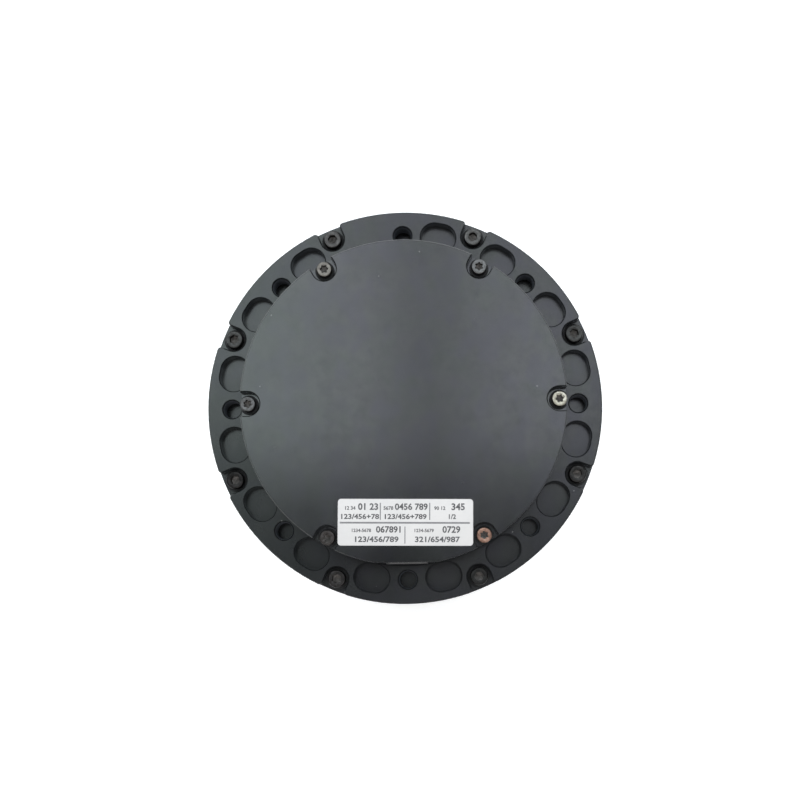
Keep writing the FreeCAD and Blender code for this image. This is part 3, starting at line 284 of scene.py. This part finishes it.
def moulded(name, base, dark, rough, grain=0.000003, scale=2600.0, specular=0.5, sheen=0.0):
    """Moulded plastic or rubber: fine spark texture, dust in the hollows."""
    k = Mat(name, specular=specular)
    if sheen:
        k.bs.inputs["Sheen Weight"].default_value = sheen
    tex = k.noise(scale, 3.0, 0.6)
    cloud = k.noise(240.0, 3.0, 0.6)
    col = k.mix(k.span(cloud, 0.35, 0.7, 0.0, 0.7), base, dark)
    col = k.mix(k.math("MULTIPLY", k.edges(0.00012), 0.35), col, tuple(min(1.0, 1.5 * c + 0.015) for c in base))
    r = k.math("ADD", k.span(cloud, 0.3, 0.7, rough - 0.04, rough + 0.05), k.span(tex, 0.3, 0.7, -0.04, 0.05))
    return k.done(col, r, k.bump(tex, 0.4, grain, k.soft_edges(0.0001)))


def wound_copper(name):
    """Enamelled round wire laid side by side round each tooth."""
    k = Mat(name, metallic=1.0)
    x, y, z = k.xyz()
    r = k.axis_distance()
    wave = k.math("SINE", k.math("MULTIPLY", r, 2 * math.pi / 0.00052))
    wave = k.math("ABSOLUTE", wave)
    fine = k.noise(1800.0, 3.0, 0.6)
    # painted shade: the colour darkens in the grooves between turns
    col = k.mix(k.span(wave, 0.0, 0.45, 1.0, 0.0), (0.50, 0.20, 0.085), (0.10, 0.030, 0.012))
    col = k.mix(k.span(fine, 0.4, 0.75, 0.0, 0.5), col, (0.62, 0.30, 0.13))
    ro = k.span(fine, 0.3, 0.7, 0.22, 0.36)
    return k.done(col, ro, k.bump(wave, 0.9, 0.00012))


def laminated(name):
    """Stack of thin steel sheets seen from the edge, varnished."""
    k = Mat(name, metallic=1.0)
    x, y, z = k.xyz()
    wave = k.math("ABSOLUTE", k.math("SINE", k.math("MULTIPLY", z, math.pi / 0.00035)))
    stain = k.noise(300.0, 4.0, 0.6)
    col = k.mix(k.span(wave, 0.0, 0.3, 1.0, 0.0), (0.24, 0.235, 0.23), (0.07, 0.065, 0.06))
    col = k.mix(k.span(stain, 0.45, 0.7, 0.0, 0.5), col, (0.15, 0.11, 0.08))
    return k.done(col, k.span(stain, 0.3, 0.7, 0.32, 0.5), k.bump(wave, 0.5, 0.00002))


def solder_mask(name):
    """Dark green board: copper tracks raised under the mask, slight orange peel."""
    k = Mat(name, specular=0.5)
    cell = k.node("ShaderNodeTexVoronoi")
    cell.feature = "DISTANCE_TO_EDGE"
    cell.distance = "MANHATTAN" if hasattr(cell, "distance") else cell.distance
    cell.inputs["Scale"].default_value = 260.0
    k.link(k.obj, cell.inputs["Vector"])
    track = k.span(cell.outputs["Distance"], 0.04, 0.07, 1.0, 0.0)
    peel = k.noise(900.0, 3.0, 0.5)
    col = k.mix(track, (0.004, 0.030, 0.014), (0.012, 0.070, 0.030))
    col = k.mix(k.span(peel, 0.45, 0.7, 0.0, 0.3), col, (0.003, 0.022, 0.012))
    n = k.bump(track, 0.5, 0.00002)
    return k.done(col, k.span(peel, 0.3, 0.7, 0.22, 0.34), k.bump(peel, 0.15, 0.00001, n))


def film_white(name):
    """Printed film label: white ink with faint unevenness, dust along the rim."""
    k = Mat(name, specular=0.45)
    cloud = k.noise(110.0, 4.0, 0.6)
    fibre = k.noise(2200.0, 3.0, 0.6, k.stretch(0.3, 1.0, 1.0))
    col = k.mix(k.span(cloud, 0.35, 0.7, 0.0, 1.0), (0.545, 0.525, 0.512), (0.505, 0.49, 0.482))
    col = k.mix(k.span(fibre, 0.55, 0.8, 0.0, 0.25), col, (0.44, 0.43, 0.425))
    col = k.mix(k.math("MULTIPLY", k.edges(0.0002), 0.35), col, (0.42, 0.42, 0.41))
    r = k.math("ADD", k.span(cloud, 0.3, 0.7, 0.42, 0.50), k.span(fibre, 0.3, 0.7, -0.03, 0.03))
    return k.done(col, r, k.bump(fibre, 0.2, 0.000004, k.soft_edges(0.00005)))


def ink(name, dark, pale):
    """Thermal-printed grey: slightly broken dots."""
    k = Mat(name, specular=0.4)
    dots = k.noise(5200.0, 3.0, 0.7)
    cloud = k.noise(600.0, 3.0, 0.6)
    col = k.mix(k.span(dots, 0.5, 0.72, 0.0, 0.75), dark, pale)
    col = k.mix(k.span(cloud, 0.4, 0.7, 0.0, 0.3), col, pale)
    return k.done(col, k.span(cloud, 0.3, 0.7, 0.5, 0.62), k.bump(dots, 0.2, 0.000002))


# ================================================================== materials
M = {
    # the last tuple of each anodised finish is a painted shade patch: the ring's lower left, the cover below the
    # label
    "black_anodised": anodised("ring_anodised", (0.0072, 0.0078, 0.0083), (0.0110, 0.0116, 0.0120), 0.235, 0.0000034, 0.00009, 0.04, 0.43, 0.9,
                               (-0.036, -0.028, 0.018, 0.042, 0.60)),
    "black_anodised_cover": anodised("cover_anodised", (0.0048, 0.0053, 0.0057), (0.0080, 0.0086, 0.0088), 0.185, 0.0000028, 0.00010, 0.12, 0.56, 0.55,
                                     (-0.002, -0.046, 0.008, 0.0135, 0.66)),
    "machined_aluminium": turned_metal("aluminium_turned", (0.66, 0.67, 0.68), (0.52, 0.53, 0.54), 0.28),
    "black_oxide": screw_steel("oxide_black", (0.075, 0.072, 0.070), (0.030, 0.029, 0.028), 0.34, 0.7, 0),
    "screw_steel": screw_steel("steel_board_screws", (0.55, 0.54, 0.52), (0.30, 0.27, 0.24), 0.25, 0.5, 9),
    "bearing_steel": ground_metal("bearing_ground", (0.66, 0.66, 0.67), (0.50, 0.50, 0.52), 0.18),
    "gear_steel": ground_metal("gear_hobbed", (0.46, 0.46, 0.47), (0.28, 0.28, 0.29), 0.27, 1100.0),
    "spring_steel": ground_metal("clip_phosphated", (0.14, 0.14, 0.145), (0.07, 0.07, 0.07), 0.38, 1900.0),
    "rim_steel": turned_metal("rim_turned", (0.48, 0.48, 0.49), (0.33, 0.33, 0.34), 0.30),
    "lamination": laminated("core_laminated"),
    "ball_chrome": ground_metal("balls_lapped", (0.78, 0.78, 0.80), (0.70, 0.70, 0.72), 0.07, 900.0),
    "magnet_nickel": ground_metal("magnet_plated", (0.66, 0.645, 0.60), (0.50, 0.48, 0.44), 0.20, 800.0),
    "copper_wire": wound_copper("wire_wound"),
    "pin_brass": ground_metal("pin_flash", (0.80, 0.62, 0.28), (0.60, 0.44, 0.18), 0.20, 2200.0),
    "washer_bronze": ground_metal("bronze_sintered", (0.60, 0.40, 0.20), (0.38, 0.24, 0.11), 0.40, 2600.0),
    "capacitor_can": turned_metal("can_drawn", (0.70, 0.70, 0.72), (0.55, 0.55, 0.57), 0.30),
    "seal_rubber": moulded("seal_moulded", (0.0075, 0.0075, 0.008), (0.0045, 0.0045, 0.005), 0.62, 0.000006, specular=0.3),
    "lead_silicone": moulded("lead_sleeve", (0.022, 0.021, 0.022), (0.012, 0.012, 0.012), 0.50, 0.000004),
    "pad_grey": moulded("pad_gap", (0.30, 0.31, 0.36), (0.22, 0.23, 0.27), 0.80, 0.00001),
    "bobbin_plastic": moulded("bobbin_moulded", (0.66, 0.62, 0.52), (0.54, 0.50, 0.41), 0.46),
    "board_mask": solder_mask("board_green"),
    "chip_black": moulded("chip_epoxy", (0.022, 0.022, 0.023), (0.012, 0.012, 0.012), 0.50, 0.000003, 4200.0),
    "port_plastic_dark": moulded("port_dark", (0.045, 0.045, 0.046), (0.030, 0.030, 0.031), 0.40, 0.000003),
    "port_plastic_light": moulded("port_ivory", (0.50, 0.47, 0.40), (0.40, 0.37, 0.31), 0.42, 0.000003),
    "label_white": film_white("label_film"),
}
slots = {s["node"]: s["material_slot"] for s in frame["record"]["subparts"]}
for name, ob in nodes.items():
    ob.data.materials.clear()
    ob.data.materials.append(M[slots[name]])

# a turned face needs its marks round each own axis, the anodised side its own lathe lines
side = Mat("side_anodised", ior=1.52)
rings = side.noise(2600.0, 2.0, 0.6, side.stretch(0.02, 0.02, 1.0))
patch = side.noise(45.0, 3.0, 0.6)
fine = side.noise(3400.0, 2.0, 0.7)
mott = side.noise(420.0, 4.0, 0.65, distort=0.6)
col = side.mix(side.span(patch, 0.35, 0.65, 0.0, 1.0), (0.0085, 0.0092, 0.0100), (0.0130, 0.0140, 0.0145))
col = side.mix(side.span(mott, 0.3, 0.75, 0.0, 0.4), col, (0.0065, 0.0070, 0.0075))
col = side.mix(side.math("MULTIPLY", side.edges(0.00018), 0.4), col, (0.11, 0.112, 0.115))
rgh = side.math("ADD", side.span(rings, 0.3, 0.7, 0.25, 0.36), side.span(mott, 0.3, 0.7, -0.02, 0.03))
nrm = side.bump(fine, 0.25, 0.0000035, side.soft_edges(0.00014))
side_mat = side.done(col, rgh, side.bump(rings, 0.25, 0.000003, nrm))
nodes["front_housing"].data.materials.clear()
nodes["front_housing"].data.materials.append(side_mat)


# ============================================================== mesh helpers
def mesh_object(name, verts, faces, mat, body, smooth_deg=35.0):
    me = bpy.data.meshes.new(name)
    me.from_pydata([tuple(v) for v in verts], [], faces)
    me.validate()
    me.update()
    for p in me.polygons:
        p.use_smooth = True
    me.set_sharp_from_angle(angle=math.radians(smooth_deg))
    ob = bpy.data.objects.new(name, me)
    scene.collection.objects.link(ob)
    me.materials.append(mat)
    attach(ob, body)
    return ob


class Build:
    """Collects lofted closed loops of equal length into one mesh."""

    def __init__(self):
        self.v, self.f = [], []

    def loft(self, loops, cap0=True, cap1=True, flip=False):
        n = len(loops[0])
        base = len(self.v)
        for lp in loops:
            self.v.extend(Vector(p) for p in lp)
        for i in range(len(loops) - 1):
            for j in range(n):
                a, b = base + i * n + j, base + i * n + (j + 1) % n
                c, e = base + (i + 1) * n + (j + 1) % n, base + (i + 1) * n + j
                self.f.append((e, c, b, a) if flip else (a, b, c, e))
        if cap0:
            q = tuple(base + j for j in range(n))
            self.f.append(q if flip else q[::-1])
        if cap1:
            last = base + (len(loops) - 1) * n
            q = tuple(last + j for j in range(n))
            self.f.append(q[::-1] if flip else q)

    def out(self, name, mat, body, deg=35.0):
        return mesh_object(name, self.v, self.f, mat, body, deg)


def circle_pts(r, z, n=72, cx=0.0, cy=0.0):
    return [(cx + r * math.cos(2 * math.pi * k / n), cy + r * math.sin(2 * math.pi * k / n), z) for k in range(n)]


def shape_pts(rad, z, n=72, turn=0.0, cx=0.0, cy=0.0):
    out = []
    for k in range(n):
        a = 2 * math.pi * k / n
        r = rad(a - turn)
        out.append((cx + r * math.cos(a), cy + r * math.sin(a), z))
    return out


def hex_radius(flat):
    def f(a):
        b = (a + math.pi / 6) % (math.pi / 3) - math.pi / 6
        return flat / 2 / math.cos(b)
    return f


def lobe_radius(tip):
    """Six rounded lobes."""
    def f(a):
        c = math.cos(6 * a)
        return tip * (0.868 + 0.132 * math.copysign(abs(c) ** 0.8, c))
    return f


def socket_screw(name, cx, cy, seat, head_r, head_h, shank_r, length, rad, key_d, turn, mat, knurl, pitch):
    """Cap screw: rounded and knurled head, drive socket with a drill cone, rolled thread."""
    b = Build()
    n = 72
    top = seat + head_h
    rf = 0.16 * head_r
    loops = [circle_pts(shank_r * 0.72, seat - length, n, cx, cy),
             circle_pts(shank_r * 0.95, seat - length + 0.3 * MM, n, cx, cy)]
    z = seat - length + 0.35 * MM
    while z < seat - 0.9 * MM:
        loops.append(circle_pts(shank_r, z, n, cx, cy))
        loops.append(circle_pts(shank_r * 0.86, z + pitch * 0.5, n, cx, cy))
        z += pitch
    loops.append(circle_pts(shank_r * 0.98, seat - 0.25 * MM, n, cx, cy))
    loops.append(circle_pts(shank_r, seat, n, cx, cy))
    loops.append(circle_pts(head_r * 0.93, seat, n, cx, cy))

    def rim(r, zz, amp):
        out = []
        for k in range(n):
            a = 2 * math.pi * k / n
            rr = r - (amp if k % 2 else 0.0)
            out.append((cx + rr * math.cos(a), cy + rr * math.sin(a), zz))
        return out
    loops.append(rim(head_r, seat + 0.12 * MM, 0.0))
    loops.append(rim(head_r, seat + 0.28 * MM, knurl))
    loops.append(rim(head_r, top - rf - 0.25 * MM, knurl))
    loops.append(rim(head_r, top - rf - 0.12 * MM, 0.0))
    for t in (0.0, 25.0, 50.0, 75.0, 90.0):
        a = math.radians(t)
        loops.append(circle_pts(head_r - rf * (1 - math.cos(a)), top - rf * (1 - math.sin(a)), n, cx, cy))
    lip = 0.07 * MM
    # the drive socket's faces from here on take their own oiled steel tone, partly painted light and shade inside the
    # socket
    dark_from = (len(loops) + 1) * n
    loops.append(shape_pts(lambda a: rad(a) + lip * 1.6, top, n, turn, cx, cy))
    loops.append(shape_pts(lambda a: rad(a) + lip * 0.5, top - lip * 0.4, n, turn, cx, cy))
    loops.append(shape_pts(rad, top - lip * 1.4, n, turn, cx, cy))
    loops.append(shape_pts(rad, top - key_d, n, turn, cx, cy))
    loops.append(shape_pts(lambda a: rad(a) * 0.55, top - key_d - 0.12 * MM, n, turn, cx, cy))
    loops.append(circle_pts(0.03 * MM, top - key_d - 0.28 * MM, n, cx, cy))
    b.loft(loops)
    o = b.out(name, mat, "housing", 28.0)
    o.data.materials.append(SOCKET_SHADE)
    for p in list(o.data.polygons)[dark_from:]:
        p.material_index = 1
    return o


# oiled steel for the drive sockets, its tone partly real oil, partly painted light and shade inside the socket
SOCKET_SHADE = screw_steel("socket_oil_and_shade", (0.075, 0.070, 0.066), (0.030, 0.028, 0.026), 0.46, 0.8, 23)


def polar(r, deg):
    return r * math.cos(math.radians(deg)), r * math.sin(math.radians(deg))


# ==================================================================== screws
lo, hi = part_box("housing_screws")
seat_case = hi.z - 2.05 * MM
for k in range(8):
    x, y = polar(45.95 * MM, 22.5 + 45.0 * k)
    # painted light and shade: each screw's tone is set to how it is lit, lighter on the upper half, darker on the
    # lower half
    tone_and_shade = [0.042, 0.065, 0.052, 0.041, 0.017, 0.022, 0.026, 0.024][k]
    mat = screw_steel("oxide_black_%d" % k, (tone_and_shade + 0.005 * (k % 3), tone_and_shade + 0.004 * (k % 3), 0.97 * tone_and_shade + 0.004 * (k % 3)),
                      (0.38 * tone_and_shade, 0.37 * tone_and_shade, 0.36 * tone_and_shade), 0.33 + 0.02 * (k % 3), 0.75, k + 1)
    s = socket_screw("case_screw_%d" % (k + 1), x, y, seat_case, 2.2 * MM, 2.05 * MM, 1.25 * MM, 10.4 * MM,
                     hex_radius(2.0 * MM), 1.5 * MM, math.radians([12, 47, 31, 5, 22, 55, 38, 16][k]), mat, 0.035 * MM, 0.45 * MM)
    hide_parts("housing_screws")
lo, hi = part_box("cover_screws")
seat_cover = hi.z - 1.95 * MM
# base tones are partly real finishes, partly painted light and shade fitted to each screw's place
tones_and_shade = {  # angle: base, stain, roughness, amount
    0: ((0.31, 0.295, 0.25), (0.15, 0.135, 0.10), 0.30, 0.6),
    60: ((0.105, 0.105, 0.105), (0.050, 0.050, 0.048), 0.36, 0.7),
    120: ((0.125, 0.117, 0.106), (0.064, 0.058, 0.052), 0.34, 0.6),
    180: ((0.090, 0.090, 0.090), (0.042, 0.042, 0.040), 0.36, 0.7),
    240: ((0.046, 0.042, 0.040), (0.018, 0.016, 0.015), 0.38, 0.7),
    300: ((0.26, 0.160, 0.122), (0.090, 0.045, 0.032), 0.36, 0.85),
}
for k, (ang, (base, stain, rgh_, amt)) in enumerate(sorted(tones_and_shade.items())):
    x, y = polar(37.6 * MM, ang)
    mat = screw_steel("screw_tone_%d" % ang, base, stain, rgh_, amt, k + 11)
    s = socket_screw("cover_screw_%d" % (k + 1), x, y, seat_cover, 1.85 * MM, 1.95 * MM, 1.0 * MM, 8.8 * MM,
                     lobe_radius(1.0 * MM), 1.0 * MM, math.radians([10, 28, 3, 41, 19, 33][k]), mat, 0.0, 0.4 * MM)
    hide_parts("cover_screws")

# rolled threads in the eight tapped holes of the ring, coloured lighter than the ring's anodising: painted light in
# the holes
THREAD_LIT = moulded("thread_dyed_lit", (0.050, 0.055, 0.062), (0.036, 0.040, 0.046), 0.58, 0.000003, 2600.0, 0.15)
for k in range(8):
    x, y = polar(43.0 * MM, 45.0 * k)
    b = Build()
    n = 48
    loops = [circle_pts(2.249 * MM, 26.0 * MM, n, x, y), circle_pts(2.249 * MM, 30.45 * MM, n, x, y)]
    z = 30.35 * MM
    while z > 26.3 * MM:
        loops.append(circle_pts(2.235 * MM, z, n, x, y))
        loops.append(circle_pts(2.09 * MM, z - 0.30 * MM, n, x, y))
        loops.append(circle_pts(2.09 * MM, z - 0.36 * MM, n, x, y))
        z -= 0.7 * MM
    loops.append(circle_pts(2.20 * MM, 26.0 * MM, n, x, y))
    b.loft(loops, cap0=False, cap1=False)
    first, last = 0, (len(loops) - 1) * n
    for j in range(n):
        b.f.append((first + (j + 1) % n, first + j, last + j, last + (j + 1) % n))
    t = b.out("ring_thread_%d" % (k + 1), THREAD_LIT, "housing", 20.0)

# ===================================================================== label
lo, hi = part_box("port_label")
lcx, lcy = (lo.x + hi.x) / 2, (lo.y + hi.y) / 2
lw, lh, lz0, lz1 = hi.x - lo.x, hi.y - lo.y, lo.z, hi.z


def round_rect(w, h, r, z, n=10, cx=0.0, cy=0.0):
    pts = []
    for sx, sy, a0 in ((1, 1, 0), (-1, 1, 90), (-1, -1, 180), (1, -1, 270)):
        for k in range(n + 1):
            a = math.radians(a0 + 90.0 * k / n)
            pts.append((cx + sx * (w / 2 - r) + r * math.cos(a), cy + sy * (h / 2 - r) + r * math.sin(a), z))
    return pts


# stuck on a little askew
ASKEW = (Matrix.Translation((lcx, lcy, 0.0)) @ Matrix.Rotation(math.radians(-1.15), 4, "Z")
         @ Matrix.Translation((-lcx, -lcy, 0.0)))
b = Build()
e = 0.02 * MM
b.loft([round_rect(lw, lh, 0.8 * MM, lz0, cx=lcx, cy=lcy),
        round_rect(lw, lh, 0.8 * MM, lz1 - e, cx=lcx, cy=lcy),
        round_rect(lw - 0.6 * e, lh - 0.6 * e, 0.8 * MM, lz1 - 0.3 * e, cx=lcx, cy=lcy),
        round_rect(lw - 2.0 * e, lh - 2.0 * e, 0.8 * MM, lz1, cx=lcx, cy=lcy)])
b.v = [ASKEW @ v for v in b.v]
label = b.out("label_sheet", M["label_white"], "housing", 40.0)
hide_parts("port_label")

INK = ink("label_ink", (0.050, 0.048, 0.050), (0.16, 0.155, 0.16))
RULE = ink("label_rule", (0.15, 0.147, 0.15), (0.25, 0.245, 0.25))
ink_z = lz1 + 0.004 * MM


def rule(name, x, y, w, h, mat):
    q = Build()
    q.loft([round_rect(w * MM, h * MM, 0.08 * MM, lz1 - 0.002 * MM, 3, lcx + x * MM, lcy + y * MM),
            round_rect(w * MM, h * MM, 0.08 * MM, ink_z, 3, lcx + x * MM, lcy + y * MM)])
    q.v = [ASKEW @ v for v in q.v]
    o = q.out(name, mat, "housing", 40.0)
    return o


rule("label_rule_mid", -0.15, -0.12, 31.1, 0.42, RULE)
rule("label_rule_a", -6.02, 2.62, 0.26, 4.1, RULE)
rule("label_rule_b", 5.80, 2.62, 0.26, 4.1, RULE)
rule("label_rule_c", -0.10, -3.05, 0.24, 4.1, RULE)


def numbers(name, text, x, y, cap, squeeze=1.0):
    """Plain printed numbers, as a thin mesh lying on the label."""
    cu = bpy.data.curves.new(name, "FONT")
    cu.body = text
    cu.align_x, cu.align_y = "CENTER", "CENTER"
    cu.size = cap * MM / 0.72
    cu.resolution_u = 3
    cu.extrude = 0.003 * MM
    cu.offset = 0.042 * cap * MM
    tmp = bpy.data.objects.new(name + "_src", cu)
    scene.collection.objects.link(tmp)
    bpy.context.view_layer.update()
    dg = bpy.context.evaluated_depsgraph_get()
    me = bpy.data.meshes.new_from_object(tmp.evaluated_get(dg))
    bpy.data.objects.remove(tmp)
    me.name = name
    me.transform(ASKEW @ Matrix.Translation((lcx + x * MM, lcy + y * MM, lz1 + 0.003 * MM))
                 @ Matrix.Diagonal((squeeze, 1.0, 1.0, 1.0)))
    me.materials.clear()
    me.materials.append(INK)
    o = bpy.data.objects.new(name, me)
    scene.collection.objects.link(o)
    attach(o, "housing")
    return o


numbers("digits_a1", "12 34", -13.3, 3.35, 0.85)
numbers("digits_a2", "01 23", -8.9, 3.65, 1.55)
numbers("digits_a3", "123/456+78", -11.0, 1.3, 1.18, 1.18)
numbers("digits_b1", "5678", -4.1, 3.35, 0.85)
numbers("digits_b2", "0456 789", 1.4, 3.65, 1.5)
numbers("digits_b3", "123/456+789", -0.1, 1.3, 1.18, 1.18)
numbers("digits_c1", "90 12", 8.2, 3.35, 0.85)
numbers("digits_c2", "345", 12.6, 3.65, 1.6)
numbers("digits_c3", "1/2", 11.1, 1.3, 1.12)
numbers("digits_d1", "1234-5678", -10.6, -2.0, 0.80)
numbers("digits_d2", "067891", -3.9, -1.8, 1.5)
numbers("digits_d3", "123/456/789", -7.0, -4.15, 1.3, 1.18)
numbers("digits_e1", "1234-5679", 4.4, -2.0, 0.80)
numbers("digits_e2", "0729", 11.0, -1.8, 1.55)
numbers("digits_e3", "321/654/987", 7.6, -4.15, 1.3, 1.18)


# ===================================================================== ports
def rect_loop(w, h, cut_l, cut_r, y, cx, cz, n=12):
    """Closed loop in XZ at depth y: rectangle with cut corners left or right, four points a side; n is not used."""
    c = [(w / 2, -h / 2 + cut_r), (w / 2, h / 2 - cut_r), (w / 2 - cut_r, h / 2), (-w / 2 + cut_l, h / 2),
         (-w / 2, h / 2 - cut_l), (-w / 2, -h / 2 + cut_l), (-w / 2 + cut_l, -h / 2), (w / 2 - cut_r, -h / 2)]
    out = []
    for i in range(8):
        a, d = c[i], c[(i + 1) % 8]
        for k in range(4):
            t = k / 4.0
            out.append((cx + a[0] + (d[0] - a[0]) * t, y, cz + a[1] + (d[1] - a[1]) * t))
    return out


def port(name, node, w, h, z0, y_mouth, depth, cav_w, cav_h, cav_d, cut, cx, turn, mat):
    """Board connector: bevelled mouth, stepped cavity."""
    q = Build()
    cz = z0 + h / 2
    m = 0.12 * MM
    small = 0.12 * MM
    loops = [
        rect_loop(w, h, cut, small, y_mouth + depth, cx, cz),
        rect_loop(w, h, cut, small, y_mouth + m, cx, cz),
        rect_loop(w - 0.7 * m, h - 0.7 * m, cut, small, y_mouth + 0.3 * m, cx, cz),
        rect_loop(w - 2 * m, h - 2 * m, cut * 0.9, small, y_mouth, cx, cz),
        rect_loop(cav_w + 2 * m, cav_h + 2 * m, cut * 0.8, small, y_mouth, cx, cz),
        rect_loop(cav_w, cav_h, cut * 0.75, small, y_mouth + 1.4 * m, cx, cz),
        rect_loop(cav_w, cav_h, cut * 0.75, small, y_mouth + cav_d * 0.55, cx, cz),
        rect_loop(cav_w * 0.94, cav_h * 0.9, cut * 0.7, small, y_mouth + cav_d * 0.6, cx, cz),
        rect_loop(cav_w * 0.94, cav_h * 0.9, cut * 0.7, small, y_mouth + cav_d, cx, cz)]
    q.loft(loops, flip=True)
    if turn:
        r = Matrix.Rotation(math.radians(turn), 3, "Z")
        q.v = [r @ v for v in q.v]
    o = q.out(name, mat, "housing", 30.0)
    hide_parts(node)
    return o


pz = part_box("controller_board")[0].z
port("power_inlet", "power_port", 10.2 * MM, pz - 31.15 * MM, 31.15 * MM, -39.12 * MM, 8.52 * MM, 8.5 * MM, 3.05 * MM,
     6.58 * MM, 0.9 * MM, 0.0, 0.0, M["port_plastic_dark"])
for nm, node, w, y0, cx, turn in (
        ("two_way_left", "signal_port_left", 5.8, -36.6, -9.9, 0.0),
        ("two_way_right", "signal_port_right", 5.8, -36.6, 9.9, 0.0),
        ("three_way_left", "side_port_left", 6.8, -38.2, 0.0, -60.0),
        ("three_way_right", "side_port_right", 6.8, -38.2, 0.0, 60.0)):
    port(nm, node, w * MM, pz - 31.7 * MM, 31.7 * MM, y0 * MM, 4.8 * MM, (w - 1.3) * MM, 2.3 * MM, 3.38 * MM,
         0.35 * MM, cx * MM, turn, M["port_plastic_light"])

# ============================================================ floor and light
def floor_material():
    k = Mat("floor_paper", specular=0.2)
    cloud = k.noise(3.0, 3.0, 0.5)
    tooth = k.noise(900.0, 2.0, 0.5)
    col = k.mix(k.span(cloud, 0.3, 0.7, 0.0, 1.0), (0.93, 0.93, 0.93), (0.955, 0.955, 0.955))
    k.bs.inputs["Emission Color"].default_value = (1.0, 1.0, 1.0, 1.0)
    k.bs.inputs["Emission Strength"].default_value = 0.35
    return k.done(col, k.span(cloud, 0.3, 0.7, 0.85, 0.92), k.bump(tooth, 0.05, 0.00001))


fm = bpy.data.meshes.new("floor")
fm.from_pydata([(-2.4, -2.4, -0.00003), (2.4, -2.4, -0.00003), (2.4, 2.4, -0.00003), (-2.4, 2.4, -0.00003)], [], [(0, 1, 2, 3)])
floor = bpy.data.objects.new("floor", fm)
fm.materials.append(floor_material())
scene.collection.objects.link(floor)


def area(name, loc, size_x, size_y, aim, radiance, colour):
    li = bpy.data.lights.new(name, "AREA")
    li.shape = "RECTANGLE"
    li.size, li.size_y = size_x, size_y
    li.energy = radiance * math.pi * size_x * size_y
    li.color = colour
    ob = bpy.data.objects.new(name, li)
    ob.location = loc
    ob.rotation_mode = "QUATERNION"
    ob.rotation_quaternion = (Vector(aim) - Vector(loc)).to_track_quat("-Z", "Y")
    scene.collection.objects.link(ob)
    return ob


# two softboxes side by side overhead, set back so that their near edge is mirrored across the cover
COOL = (0.895, 0.958, 1.0)
area("softbox_left", (-0.62, 0.74, 1.05), 1.16, 1.34, (-0.62, 0.74, 0.0), 3.55, COOL)
area("softbox_right", (0.59, 0.74, 1.05), 1.16, 1.34, (0.59, 0.74, 0.0), 3.25, COOL)
area("fill_front", (0.0, -0.78, 1.05), 2.2, 1.0, (0.0, -0.78, 0.0), 2.3, (1.0, 1.0, 1.0))
area("ceiling_card", (0.0, -0.28, 1.6), 2.6, 1.0, (0.0, -0.28, 0.0), 0.24, (0.95, 0.97, 1.0))
world = bpy.data.worlds.new("studio")
world.use_nodes = True
bg = [n for n in world.node_tree.nodes if n.type == "BACKGROUND"][0]
bg.inputs["Color"].default_value = (0.95, 0.97, 1.0, 1.0)
bg.inputs["Strength"].default_value = 0.07
scene.world = world
scene.view_settings.view_transform = "Standard"
scene.view_settings.look = "None"
scene.view_settings.exposure = 0.0
scene.view_settings.gamma = 1.0

# ==================================================================== camera
DIST, ROLL = 0.280, math.radians(1.033)
cam_data = bpy.data.cameras.new("camera")
cam_data.sensor_width = 36.0
cam_data.lens = 36.0 * 4.050 * DIST / MM / 800.0
cam_data.shift_x, cam_data.shift_y = -0.0675, 0.1335
cam_data.clip_start, cam_data.clip_end = 0.01, 20.0
cam = bpy.data.objects.new("camera", cam_data)
tilt_x, tilt_y = 0.00027, -0.05393
back = Vector((tilt_x, tilt_y, math.sqrt(1.0 - tilt_x ** 2 - tilt_y ** 2)))
right = Vector((math.cos(ROLL), -math.sin(ROLL), 0.0))
right = (right - back * right.dot(back)).normalized()
up = back.cross(right).normalized()
cam.location = Vector((11.753 * MM, -40.333 * MM, 31.0 * MM + DIST))
rot = Matrix((right, up, back)).transposed()
cam.rotation_mode = "QUATERNION"
cam.rotation_quaternion = rot.to_quaternion()
scene.collection.objects.link(cam)
scene.camera = cam
